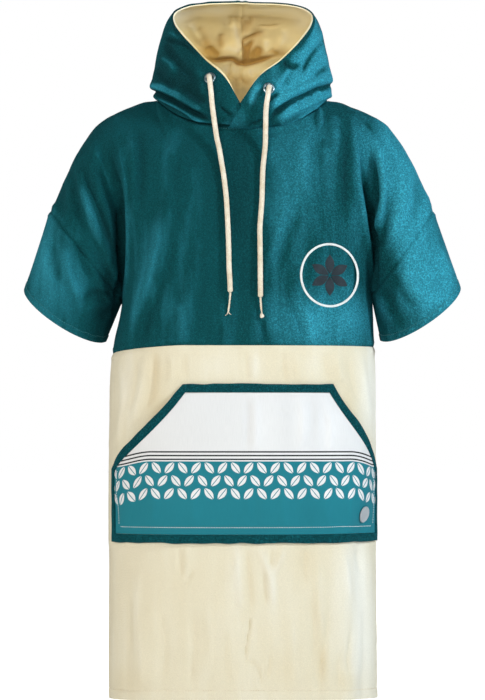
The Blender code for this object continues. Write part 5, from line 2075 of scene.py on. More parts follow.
@dataclass(frozen=True)
class Drawstring:
    """One end of the drawstring: a round braid that leaves its eyelet and lies on the chest.

    route and tail repeat the points that its solids follow, and tail_radii go with the tail,
    all in tenths of a millimetre.
    """

    hand: Hand
    route: Rows
    tail: Rows
    tail_radii: Row
    far_end: str
    radius: float = 0.0043
    strands: int = 8
    turns_per_metre: float = 46.0
    relief: float = 0.00042
    around: int = 24
    step_length: float = 0.0011
    tail_around: int = 12
    tail_step: float = 0.0007
    tail_twist: float = 900.0
    strand_radius: float = 0.00042

    def line(self, route: Rows, gap: float) -> Array:
        """Smooth curve through a route's points, at even steps.

        Args:
            route: Its points, in tenths of a millimetre.
            gap: The step, in metres.

        Returns:
            Points in metres.
        """
        marks = np.array(route) / 10000
        knots = along(marks)
        at = spread(0, knots[-1], round(knots[-1] / gap) + 1)
        return np.stack([smooth(at, knots, marks[:, axis]) for axis in range(3)], axis=1)

    def tube(self, line: Array, radii: Array, around: int) -> tuple[Array, Array, Array]:
        """Rings of points round a line, with no twist between them.

        Args:
            line: The centre line, (count, 3).
            radii: Radius of every point of the tube, (count, around).
            around: Points in each ring.

        Returns:
            Points (count * around + 2, 3), faces, and cloth coordinates for each point.
        """
        forward = unit(np.gradient(line, axis=0))
        side = unit(np.cross(forward, np.array([0.0, 1.0, 0.12])))
        other = np.cross(side, forward)
        turn = np.arange(around) * 2 * math.pi / around
        ring = side[:, None] * np.cos(turn)[:, None] + other[:, None] * np.sin(turn)[:, None]
        points = (line[:, None] + ring * radii[..., None]).reshape(-1, 3)
        points = np.concatenate([points, line[[0, -1]]])
        count = len(line)
        numbers = closed(np.arange(count * around).reshape(count, around))
        quads = grid_quads(numbers)[:, ::-1]
        start, end = numbers[0], numbers[-1]
        centre = np.full(around, count * around)
        caps = [np.stack([centre, start[:-1], start[1:], start[1:]], axis=1),
                np.stack([centre + 1, end[1:], end[:-1], end[:-1]], axis=1)]
        walked = np.repeat(along(line), around)
        flat = np.stack([np.tile(turn, count), walked], axis=1)
        flat = np.concatenate([flat, np.zeros((2, 2))])
        return points, np.concatenate([quads, *caps]), flat

    def braid(self, finish: Material) -> Object:
        """The round braid: strands wind both ways and pass over each other.

        Each strand is a half sine across, and the ones that wind one way stand higher where
        a slow wave along the cord says so.

        Args:
            finish: Its material.

        Returns:
            The object.
        """
        line = self.line(self.route, self.step_length)
        turn = np.arange(self.around) * 2 * math.pi / self.around
        walked = along(line)[:, None]
        winding = 2 * math.pi * self.turns_per_metre * walked
        one = np.abs(np.sin((self.strands * turn + winding * self.strands / 4) / 2))
        two = np.abs(np.sin((self.strands * turn - winding * self.strands / 4) / 2))
        relief = np.maximum(one, two) - 0.75
        ends = step(0, 0.0025, walked) * step(0, 0.0020, walked[-1] - walked)
        radii = self.radius * (0.62 + 0.38 * ends) + self.relief * relief
        points, faces, flat = self.tube(line, radii, self.around)
        name = self.hand.piece("cord")
        made = mesh_object(name + "_braid", points, faces, finish, flat, sharp_angle=80)
        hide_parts(name)
        return made

    def thin_end(self, finish: Material) -> Object:
        """The thin tail: frayed into strands on one side, tied in a knot on the other.

        Args:
            finish: Its material.

        Returns:
            The object.
        """
        line = self.line(self.tail, self.tail_step)
        knots = along(np.array(self.tail) / 10000)
        radii = smooth(along(line), knots, np.array(self.tail_radii) / 10000)
        turn = np.arange(self.tail_around) * 2 * math.pi / self.tail_around
        twist = np.abs(np.sin((3 * turn + self.tail_twist * along(line)[:, None]) / 2))
        parts = [self.tube(line, radii[:, None] * (0.86 + 0.26 * twist), self.tail_around)]
        parts += [self.tube(strand, np.full((len(strand), 6), self.strand_radius), 6)
                  for strand in self.strands_of(line)]
        points, faces, start = [], [], 0
        for some_points, some_faces, _ in parts:
            points.append(some_points)
            faces.append(some_faces + start)
            start += len(some_points)
        name = self.hand.piece("tail")
        made = mesh_object(name + "_thread", np.concatenate(points), np.concatenate(faces), finish)
        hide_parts(name)
        return made

    def strands_of(self, line: Array) -> list[Array]:
        """Loose strands past the frayed end, each a gentle curve away from the others.

        Args:
            line: The tail's centre line.

        Returns:
            Their centre lines.
        """
        if self.far_end != "bare":
            return []
        tip, share = line[-4], spread(0, 1, 9)[:, None]
        spreads = ((-0.0052, 0.0002, -0.0080), (0.0048, 0.0000, -0.0066),
                   (-0.0020, -0.0006, -0.0062), (0.0018, -0.0004, -0.0052))
        return [tip + np.array(reach) * share + np.array([0.0, 0.0, -0.0012])
                * np.sin(math.pi * share) for reach in spreads]

    def declare(self, braid: Object, tail: Object) -> None:
        """Work out the cord's centre line, which nothing then uses.

        Args:
            braid: Its braid. Not used.
            tail: Its tail. Not used.
        """
        line = self.line(self.route, self.step_length)

    def bed(self, points: Array, above: Array) -> Array:
        """Height of cloth that leaves room for this cord where it lies.

        Args:
            points: Places on the cloth.
            above: The cloth's height there before.

        Returns:
            The height, brought down to a little below the plain surface under the cord.
        """
        line = self.line(self.route + self.tail[1:], 0.004)
        seen, path = points[..., [0, 2]], line[:, [0, 2]]
        apart = np.full(points.shape[:-1], 1.0)
        near = np.abs(seen[..., 0] - path[:, 0].mean()) < 0.05
        spots = seen[near]
        if len(spots):
            apart[near] = np.min(np.linalg.norm(spots[:, None] - path[None], axis=-1), axis=1)
        share = 1 - step(self.radius * 1.4, self.radius * 3.6, apart)
        return above * (1 - share) + np.minimum(above, -0.0002) * share


LEFT_STRING = Drawstring(
    Hand.LEFT,
    route=(
        (-545, -979, 315), (-551, -1003, 322), (-555, -1107, 322), (-545, -1192, 258),
        (-533, -1224, 158), (-520, -1215, 40), (-505, -1182, -129), (-480, -1166, -331),
        (-456, -1168, -507), (-421, -1190, -734), (-382, -1227, -910), (-344, -1281, -1136),
        (-305, -1349, -1377), (-280, -1395, -1582), (-261, -1432, -1769), (-244, -1463, -2055),
        (-229, -1491, -2375), (-221, -1512, -2661), (-214, -1529, -2946), (-202, -1539, -3147),
        (-196, -1547, -3331),
    ),
    tail=(
        (-196, -1547, -3336), (-200, -1545, -3420), (-212, -1534, -3530), (-224, -1530, -3616),
        (-232, -1530, -3665),
    ),
    tail_radii=(17, 15, 14, 15, 11),
    far_end="bare",
)
RIGHT_STRING = Drawstring(
    Hand.RIGHT,
    route=(
        (450, -1112, 122), (454, -1140, 129), (457, -1242, 124), (448, -1320, 61),
        (435, -1350, -34), (415, -1330, -150), (402, -1278, -300), (399, -1236, -469),
        (396, -1216, -646), (392, -1218, -839), (373, -1248, -1032), (353, -1304, -1222),
        (342, -1376, -1496), (335, -1426, -1768), (318, -1452, -2005), (301, -1475, -2240),
        (301, -1492, -2459), (304, -1505, -2660), (306, -1521, -2929), (308, -1533, -3180),
        (309, -1543, -3415),
    ),
    tail=(
        (309, -1543, -3420), (312, -1540, -3500), (319, -1538, -3600), (330, -1540, -3685),
        (332, -1544, -3710), (334, -1546, -3732), (335, -1545, -3753), (336, -1544, -3764),
    ),
    tail_radii=(17, 15, 14, 14, 29, 34, 28, 13),
    far_end="knot",
)
STRINGS = (LEFT_STRING, RIGHT_STRING)


# ---- Sub-assemblies ----


@dataclass(frozen=True)
class Upper:
    """Teal chest, back, shoulders and sleeves.

    side_seam is how much deeper the drop-shoulder seams are than the others.
    """

    form: UpperForm = UpperForm()
    seam: Seam = Seam()
    hem: TurnedHem = TurnedHem(depth=0.0120)
    neck_columns: int = 52
    shoulder_columns: int = 30
    patch_columns: int = 30
    rows: int = 104
    rows_below: int = 24
    sleeve_rows: float = 0.0036
    sleeve_around: int = 108
    sleeve_length: float = 0.132
    flat_around: float = 0.17
    side_seam: float = 1.25
    underarm_calm: float = 0.75
    underarm_width: float = 0.16
    rumple_fade: float = 0.012
    painted_light_share: float = 0.36

    def columns(self) -> Array:
        """Columns from drop-shoulder seam to drop-shoulder seam, even in each stretch.

        Returns:
            The columns.
        """
        share = self.form.neck.share
        right = np.concatenate([spread(0, share, self.neck_columns + 1),
                                spread(share, 1, self.shoulder_columns + 1)[1:],
                                spread(1, 2, self.patch_columns + 1)[1:]])
        return np.concatenate([-right[:0:-1], right])

    def panel(self, back: bool) -> Cloth:
        """Front or back panel, its rows from the colour seam to the shoulders.

        Args:
            back: Whether it is the back half.

        Returns:
            The piece.
        """
        form, columns = self.form, self.columns()
        shares = np.clip(columns, -1, 1)
        sleeve_side = np.abs(columns) >= 1
        on_shoulder = np.abs(columns) >= form.neck.share
        at_neck = np.abs(columns) <= form.neck.share
        seam, underarm = form.body.seam(shares, back), form.body.underarm(shares)
        levels = spread(0, 1, self.rows_below + 1)[:-1, None]
        below_drop = seam + (underarm - seam) * levels
        below_share = np.broadcast_to(shares, below_drop.shape)
        around = spread(0, 1, self.rows)
        column, around = np.meshgrid(columns, 2 - around if back else around)
        if back:
            around = np.maximum(around, JUST_BEHIND)
        below = form.body.section(below_share, below_drop, back)
        points = np.concatenate([below, form.point(column, around)])
        outward = form.outward(column, around, back)
        outward[-1, on_shoulder, 1] = 0
        neck_angle = form.neck.angle(columns, back)
        outward[-1, at_neck] = form.neck.outward(neck_angle)[at_neck]
        outward[0, columns <= -1] = (-1, 0, 0)
        outward[0, columns >= 1] = (1, 0, 0)
        below_out = form.body.outward(below_share, below_drop, back)
        outward = unit(np.concatenate([below_out, outward]))
        points[:self.rows_below + 1, sleeve_side, 1] = 0.0
        points[-1, on_shoulder, 1] = 0.0
        height = self.height(points, on_shoulder)
        # Tone is painted light and shade: given zones, lighter on ridges and darker in dips.
        return Cloth(raised(points, outward, height), outward, points[..., [0, 2]], TERRY_THICK,
                     tone=painted_light_over(points, height, self.painted_light_share, TEAL_PAINTED_LIGHT))

    def height(self, points: Array, on_shoulder: Array) -> Array:
        """Rise over a panel: rumple, room for the cords, and a dip along every seam.

        Args:
            points: Grid of points.
            on_shoulder: Which columns end on the shoulder.

        Returns:
            One height for each point.
        """
        from_foot, from_top, from_left, from_right = reaches(points)
        middle = points.shape[1] // 2
        rumple = TEAL_RUMPLE.height(points)
        height = rumple * step(0, self.rumple_fade, np.where(on_shoulder, 1.0, from_top))
        if points[..., 1].mean() < 0:
            for string in STRINGS:
                height = string.bed(points, height)
        sewn = self.seam.height(from_foot, points) + self.seam.height(from_top, points)
        reach = np.where(np.arange(points.shape[1]) < middle, from_left, from_right)
        above = np.arange(points.shape[0])[:, None] > self.rows_below
        side = self.side_seam * self.seam.height(reach, points)
        return height + sewn + np.where(above, side, 0.0)

    def sleeve(self, hand: Hand) -> Cloth:
        """Short sleeve, a tube from the drop-shoulder seam to the cuff.

        Args:
            hand: Which side.

        Returns:
            The piece.
        """
        form = self.form
        around = np.concatenate([spread(0, 1, self.sleeve_around),
                                 1 + spread(0, 1, self.sleeve_around)[1:]])
        shares = (1 - self.hem.levels(self.sleeve_length, self.sleeve_rows))[::-1]
        grid_share, grid_around = np.meshgrid(shares, around, indexing="ij")
        column = hand.value * (2 + grid_share)
        outward = form.outward(column, grid_around, False)
        outward[:, -1] = outward[:, 0]
        points = form.sleeve(grid_share, grid_around, hand)
        onward = unit(points[1] - points[0])
        at_underarm = np.abs(np.cos(math.pi * around / 2)) ** 8
        fade = (1 - step(0.0, 0.25, shares))[:, None, None]
        points = points + onward * (GAP * (1 + 2 * at_underarm))[:, None] * fade
        from_seam, from_cuff, _, _ = reaches(points)
        inner = np.exp(-(np.minimum(around, 2 - around) / self.underarm_width) ** 2)
        height = TEAL_RUMPLE.height(points) * (1 - self.underarm_calm * inner)
        height = height + self.side_seam * self.seam.height(from_seam, points)
        height = height + self.hem.height(from_cuff, points)
        height[:, -1] = height[:, 0]
        flat = joined(grid_around * self.flat_around, points[..., 2])
        # Tone is painted light and shade: given zones, lighter on ridges and darker in dips.
        return Cloth(raised(points, outward, height), outward, flat, TERRY_THICK,
                     tone=painted_light_over(points, height, self.painted_light_share, TEAL_PAINTED_LIGHT))


@dataclass(frozen=True)
class Lower:
    """Cream front and back from the colour seam to the hem."""

    body: BodyForm = BodyForm()
    pocket: PocketForm = PocketForm()
    seam: Seam = Seam(depth=0.0014, pucker=0.0009)
    hem: TurnedHem = TurnedHem()
    columns: int = 150
    gap: float = 0.0042
    side_seam: float = 0.6
    painted_light_share: float = 0.24

    def panel(self, back: bool) -> Cloth:
        """Front or back panel, its rows from the hem to the colour seam.

        Args:
            back: Whether it is the back half.

        Returns:
            The piece.
        """
        shares = spread(-1, 1, self.columns)
        length = self.body.hem_drop - self.body.seam_drop
        levels = (1 - self.hem.levels(length, self.gap))[:, None]
        seam, hem = self.body.seam(shares, back) + GAP, self.body.hem(shares, back)
        drop = seam + (hem - seam) * levels
        share = np.broadcast_to(shares, drop.shape)
        points = self.body.section(share, drop, back)
        outward = self.body.outward(share, drop, back)
        points[:, [0, -1], 1] = 0.0
        height = CREAM_RUMPLE.height(points)
        if not back:
            height = height * (1 - self.under_pocket(points))
        foot, top, left, right = reaches(points)
        height = height + self.seam.height(top, points) + self.hem.height(foot, points)
        height = height + self.side_seam * self.seam.height(np.minimum(left, right), points)
        # Tone is painted light and shade: given zones, lighter on ridges and darker in dips.
        return Cloth(raised(points, outward, height), outward, points[..., [0, 2]], TERRY_THICK,
                     tone=painted_light_over(points, height, self.painted_light_share, CREAM_PAINTED_LIGHT))

    def under_pocket(self, points: Array) -> Array:
        """1 under the pocket and 0 away from it, easing over its edges.

        Args:
            points: Places on the cloth.

        Returns:
            The mask.
        """
        pocket = self.pocket
        drop = -points[..., 2]
        slant = np.clip((drop - pocket.top) / (pocket.corner - pocket.top), 0, 1)
        half = pocket.top_width / 2 + (pocket.width - pocket.top_width) / 2 * slant + 0.012
        centre = pocket.top_centre + (pocket.centre - pocket.top_centre) * slant
        inside = 1 - step(-0.004, 0.012, np.abs(points[..., 0] - centre) - half)
        rows = step(-0.012, 0.0, drop - pocket.top) * (1 - step(0.0, 0.012, drop - pocket.bottom))
        return inside * rows


@dataclass(frozen=True)
class Hood:
    """Hood: two teal halves lined with two cream ones, open in front."""

    form: HoodForm = HoodForm()
    seam: Seam = Seam()
    around: int = 190
    up: int = 92
    rim_thicker: float = 0.0016
    lining_out: float = 0.0022
    lining_out_left: float = 0.0045
    crown_overlap: float = 0.0002
    hollow_bulge: float = 0.0030
    lining_lap: float = 0.6
    back_bulge: float = 0.0110
    crown_dip: float = 0.0002
    fold_height: float = 0.011
    fold_at: float = 0.36
    fold_width: float = 0.10
    fold_angles: tuple[float, float] = (95, 150)
    flat_around: float = 0.14
    neck_seam: float = 1.8
    rim_shade: float = 0.8
    loose_wander: float = 0.0016

    def grid(self, hand: Hand, inset: float) -> tuple[Array, Array, Array, Array]:
        """Work out one half's surface.

        Args:
            hand: Which side.
            inset: How far inwards the surface lies.

        Returns:
            Its angles, heights, points and outward directions, from neck to opening.
        """
        form, left = self.form, hand is Hand.LEFT
        heights = np.concatenate([spread(0, 0.12, 12)[:-1], spread(0.12, 1, self.up)])
        edge = (form.lap_under if left else -form.lap_over) * (1 - heights)
        if inset:
            edge = edge * self.lining_lap
        # Columns start at the half's own slanted front edge and even out by the first third.
        share = spread(0, 1, self.around)
        end = -180.0 if left else 180.0
        angles = edge[:, None] * (1 - share) ** 3 + end * share[None]
        height = np.broadcast_to(heights[:, None], angles.shape)
        points, outward = form.point(angles, height), form.outward(angles, height)
        lap = form.lap(angles, hand) * (0.60 + 0.40 * step(0.0, 0.12, height))
        points = points + outward * (lap - inset)[..., None]
        points[0, :, 2] += GAP
        points[:, -1, 0] = -self.crown_overlap * hand.value
        return angles, height, points, outward

    def shape(self, points: Array, angles: Array) -> Array:
        """Rise that the shell and its lining share: rumple, and the dips at neck and crown.

        Args:
            points: Grid of points.
            angles: Their angles round the neck.

        Returns:
            One height for each point.
        """
        neck, _, _, crown = reaches(points)
        height = HOOD_RUMPLE.height(points) * step(0, 0.012, neck)
        for string in STRINGS:
            height = string.bed(points, height)
        height = height + self.neck_seam * self.seam.height(neck, points)
        return height + self.seam.height(crown, points) * step(60, 120, np.abs(angles))

    def turned_in(self, angles: Array, opening: Array) -> Array:
        """How much higher the turned-in edge lies, beside the opening at the top and sides."""
        return (self.rim_thicker * (1 - step(0.004, 0.012, opening))
                * step(40, 80, np.abs(angles)))

    def shell(self, hand: Hand) -> Cloth:
        """Outer half, a little thicker where it is turned in along the opening.

        Args:
            hand: Which side.

        Returns:
            The piece.
        """
        angles, _, points, outward = self.grid(hand, 0.0)
        opening = edge_reach(points, 0, True)
        height = self.shape(points, angles) * step(0, 0.010, opening + 0.004)
        thicker = self.turned_in(angles, opening)
        flat = joined(np.radians(angles) * self.flat_around, points[..., 2])
        # Painted light and shade: given zones, lighter on ridges and darker in dips, less the
        # painted shade along the turned-in rim.
        tone = painted_light_over(points, height, 1.2, HOOD_PAINTED_LIGHT)
        return Cloth(raised(points, outward, height + thicker), outward, flat, TERRY_THICK,
                     tone=tone - self.rim_shade * thicker / self.rim_thicker)

    def lining(self, hand: Hand) -> Cloth:
        """Inner half, which bulges into the hollow, crumpled, and just shows past the opening.

        Args:
            hand: Which side.

        Returns:
            The piece.
        """
        angles, height, points, outward = self.grid(hand, TERRY_THICK - GAP)
        opening = edge_reach(points, 0, True)
        shared = self.shape(points, angles) * step(0, 0.010, opening + 0.004)
        shared = shared + self.turned_in(angles, opening)
        at_back = step(*self.fold_angles, np.abs(angles))
        fold = np.exp(-((height - self.fold_at) / self.fold_width) ** 2)
        seen = seen_flat(points)
        crumple = sum(crease.rise(seen) for crease in LINING_CREASES)
        crumple = crumple + self.loose_wander * wander(points, (0.03, 0.03, 0.04), 31)
        neck, _, _, crown = reaches(points)
        low = step(0, 0.020, neck)
        free, loose = step(0, 0.055, opening) * low, step(0, 0.014, opening) * low
        inward = self.hollow_bulge * free + self.back_bulge * free * at_back
        inward = inward + self.fold_height * at_back * fold * free
        inward = inward + crumple * loose * step(30, 70, np.abs(angles))
        inward = inward - self.crown_dip * loose * (1 - step(0, 0.004, crown))
        points = raised(points, outward, shared - np.maximum(inward, 0.0))
        points[:, -1, 0] = -self.crown_overlap * hand.value
        wide = self.lining_out_left if hand is Hand.LEFT else self.lining_out
        rolled = self.lining_out + (wide - self.lining_out) * (1 - step(25, 60, np.abs(angles)))
        rolled = rolled * step(2, 16, np.abs(angles)) * (1 - step(95, 125, np.abs(angles)))
        onward = unit(points[-1] - points[-2])
        points[-1] = points[-1] + onward * rolled[-1][:, None]
        flat = joined(np.radians(angles) * self.flat_around, opening)
        # Painted light and shade: given zones, lighter on the crumple's ridges and darker in its
        # folds, then painted light along the rolled edge at the opening.
        tone = painted_light_over(points, 0.5 * crumple * loose * at_back, 1.0, LINING_PAINTED_LIGHT, False)
        tone = tone + 0.5 * (1 - step(0.002, 0.006, opening))
        return Cloth(points, outward, flat, LINING_THICK, tone=tone)


@dataclass(frozen=True)
class Pocket:
    """Kangaroo pocket: woven panel in a terry binding, with a small round patch."""

    form: PocketForm = PocketForm()
    steps: tuple[int, ...] = (40, 26, 120, 26, 40, 60)
    binding_rows: int = 11
    stray: float = 0.0012
    round_height: float = 0.0011
    round_low: float = 0.0004
    uneven: float = 0.0006
    panel_across: int = 128
    patch_place: Point = (0.218, 0.7060, 0.014)
    patch_clearance: float = 0.0013
    clear_below: float = 0.0012
    groove: float = 0.0005

    def binding(self) -> Cloth:
        """Terry binding all round, rounded across like a folded tape.

        Returns:
            The piece.
        """
        form = self.form
        insets = spread(0, form.border, self.binding_rows)
        rows = np.array([form.outline(inset, self.steps) for inset in insets])
        rows = closed(rows)
        share = (insets / form.border)[:, None]
        spots = np.insert(rows, 1, 0.0, axis=-1)
        strays = [wander(spots, (0.022, 0.022, 0.022), seed) for seed in (43, 47)]
        rows = rows + self.stray * (1 - share)[..., None] * np.stack(strays, axis=-1)
        points, outward = form.place(rows[..., 0], rows[..., 1], BINDING_THICK)
        rounded = self.round_height * np.sin(math.pi * share) ** 0.7 - self.round_low
        uneven = self.uneven * wander(points, (0.010, 0.010, 0.010), 41)
        height = rounded + uneven * np.sin(math.pi * share)
        height = height + np.maximum(POCKET_RUMPLE.height(points), 0.0) * share
        flat = joined(*np.broadcast_arrays(along(rows[0]), share * form.border))
        return Cloth(raised(points, outward, height), outward, flat, BINDING_THICK, True)

    def panel(self) -> Cloth:
        """Woven panel inside the binding, its rows from the foot to the top.

        Returns:
            The piece.
        """
        form = self.form
        outline = form.outline(form.border + 1.5 * GAP, self.steps)
        down = self.steps[0] + self.steps[1]
        right = outline[:down + 1]
        left = outline[-self.steps[-1]:-self.steps[-1] - down - 1:-1]
        share = spread(0, 1, self.panel_across)[:, None]
        flat = left[:, None] + (right - left)[:, None] * share
        across, drop = flat[::-1, :, 0], flat[::-1, :, 1]
        points, outward = form.place(across, drop, WOVEN_THICK)
        edge = np.minimum.reduce(reaches(points))
        height = POCKET_RUMPLE.height(points) * step(0, 0.02, edge)
        height = np.maximum(height, -self.clear_below)
        height = height - self.groove * np.exp(-((edge - 0.004) / 0.0016) ** 2)
        # Tone is painted light and shade: given zones, lighter on ridges and darker in dips.
        return Cloth(raised(points, outward, height), outward, joined(across, drop),
                     WOVEN_THICK, tone=painted_light_over(points, height, 0.30, POCKET_PAINTED_LIGHT))

    def patch(self) -> Cloth:
        """Small round patch: a raised rim, a groove and a plain domed middle.

        Returns:
            The piece.
        """
        across, drop, radius = self.patch_place
        shares = np.array([1e-6, 0.15, 0.3, 0.45, 0.56, 0.60, 0.66, 0.70, 0.80, 0.86, 0.90,
                           0.95, 0.985, 1.0])
        profile = np.array([0.0004, 0.0004, 0.00035, 0.0003, 0.0003, 0.00015, 0.00015, 0.0005,
                            0.0005, 0.0005, 0.0008, 0.0008, 0.0005, 0.0])
        turn = spread(0, 2 * math.pi, 65)
        radii = shares[:, None] * radius
        x, z = across + radii * np.sin(turn), drop - radii * np.cos(turn)
        above = WOVEN_THICK + self.patch_clearance + PATCH_THICK
        points, outward = self.form.place(x, z, above)
        points = points + outward * profile[:, None, None]
        outward = np.broadcast_to(outward[0, 0], outward.shape)
        flat = joined(x, z)
        return Cloth(points, outward, flat, PATCH_THICK, True)


@dataclass(frozen=True)
class Eyelet:
    """Pressed metal ring on the hood, with a dark cup of painted shade in the hole that the cord
    comes out of.
    """

    hand: Hand
    angle: float
    height: float
    lift: float
    hood: HoodForm = HoodForm()
    bore: float = 0.0053
    outer: float = 0.0100
    crown: float = 0.0022
    around: int = 72

    def frame(self) -> tuple[Array, Array, Array, Array]:
        """Where the ring lies.

        Returns:
            Its middle, and its directions across, up and out.
        """
        angle, height = np.array([self.angle]), np.array([self.height])
        out = self.hood.outward(angle, height)[0]
        lift = self.lift + float(self.hood.lap(angle, self.hand)[0])
        middle = self.hood.point(angle, height)[0] + out * lift
        across = unit(np.cross(np.array([0.0, 0.0, 1.0]), out)) * -1
        return middle, across, np.cross(across, out), out

    def turned(self, section: Array, name: str, finish: Material,
               closed_section: bool) -> Object:
        """A section of (radius, height) turned about the ring's axis.

        Args:
            section: Points (radius, height).
            name: The object's name.
            finish: Its material.
            closed_section: Whether the section closes on itself.

        Returns:
            The object.
        """
        middle, across, up, out = self.frame()
        turn = spread(0, 2 * math.pi, self.around + 1)[:, None, None]
        radius, rise = section[None, :, 0, None], section[None, :, 1, None]
        points = middle + radius * (np.cos(turn) * across + np.sin(turn) * up) + rise * out
        numbers = closed(numbered(points)) if closed_section else numbered(points)
        return mesh_object(name, points.reshape(-1, 3), grid_quads(numbers), finish, weld=2e-6)

    def build(self, finishes: Finishes) -> None:
        """The ring, a smooth rolled lip, and a dark cup inside its bore, painted shade in the
        hole.

        Args:
            finishes: Every finish, by name.
        """
        share = spread(0, math.pi, 15)
        centre, half = (self.bore + self.outer) / 2, (self.outer - self.bore) / 2
        lip = np.stack([centre - half * np.cos(share),
                        self.crown * np.sin(share) ** 0.75], axis=1)
        name = self.hand.piece("eyelet")
        ring = self.turned(lip, name + "_ring", finishes["steel"], True)
        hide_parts(name)
        # Dark cup in the bore: painted shade in the hole.
        cup = np.array([(1e-7, 0.00035), (self.bore * 0.9, 0.00035), (self.bore, 0.0008),
                        (self.bore, 0.0), (1e-7, 0.0)])
        self.turned(cup, name + "_bore", finishes["bore"], False)


@dataclass(frozen=True)
class Badge:
    """Embroidered ring with a plain dark flower in it, sewn on the chest."""

    centre: tuple[float, float] = (0.1477, -0.3035)
    radii: tuple[float, float] = (0.0485, 0.0522)
    start_y: float = -0.130
    band: float = 0.0038
    proud: float = 0.0011
    petals: int = 6
    petal_from: float = 0.0030
    petal_length: float = 0.0310
    petal_width: float = 0.0078

    def satin(self, name: str, middle: Array, wide: Array, half: Array, ground: Ground,
              finish: Material) -> Object:
        """Band of satin stitch over the ground, a low arch across, closed underneath.

        Args:
            name: The object's name.
            middle: Middle line seen flat, (count, 2).
            wide: Unit direction across it, (count, 2).
            half: Half width at each point, (count,).
            ground: The cloth below.
            finish: The thread's material.

        Returns:
            The band.
        """
        share = spread(-1, 1, 9)
        flat = middle[:, None] + wide[:, None] * (share[:, None] * half[:, None, None])
        spots = np.insert(flat, 1, self.start_y, axis=-1).reshape(-1, 3)
        ground = ground.near(spots)
        for _ in range(3):
            spots[:, 1] = ground.under(spots)[0][:, 1]
        outward = ground.under(spots)[1]
        shape = flat.shape[:2] + (3,)
        points, outward = spots.reshape(shape), outward.reshape(shape)
        arch = self.proud * np.sqrt(np.clip(1 - share ** 2, 0, 1))
        top = points + outward * arch[:, None]
        under = points - outward * GAP
        rows = np.concatenate([top, under[:, ::-1][:, 1:-1]], axis=1)
        numbers = closed(numbered(rows))
        caps = [np.stack([end[:7], end[1:8], end[-2:-9:-1], end[-1:-8:-1]], axis=1)
                for end in (numbers[0, :-1], numbers[-1, :-1][::-1])]
        return mesh_object(name, rows.reshape(-1, 3),
                           np.concatenate([grid_quads(numbers), *caps]), finish)

    def build(self, ground: Ground, finishes: Finishes) -> None:
        """The ring and the flower's petals.

        Args:
            ground: The chest's cloth.
            finishes: Every finish, by name.
        """
        turn = spread(0, 2 * math.pi, 361)
        across = np.stack([np.cos(turn), np.sin(turn)], axis=1)
        centre = np.array(self.centre)
        self.satin("badge_ring", centre + across * self.radii, across,
                   np.full(len(turn), self.band / 2), ground, finishes["white_thread"])
        share = spread(0, 1, 25)
        half = self.petal_width * np.sin(math.pi * np.clip(share, 0.02, 0.98)) ** 0.8
        for number in range(self.petals):
            angle = math.radians(90 + 360 / self.petals * number)
            onward = np.array([math.cos(angle), math.sin(angle)])
            middle = centre + onward * (self.petal_from + self.petal_length * share)[:, None]
            wide = np.broadcast_to([-onward[1], onward[0]], middle.shape)
            self.satin(f"badge_petal_{number}", middle, wide, half, ground,
                       finishes["dark_thread"])


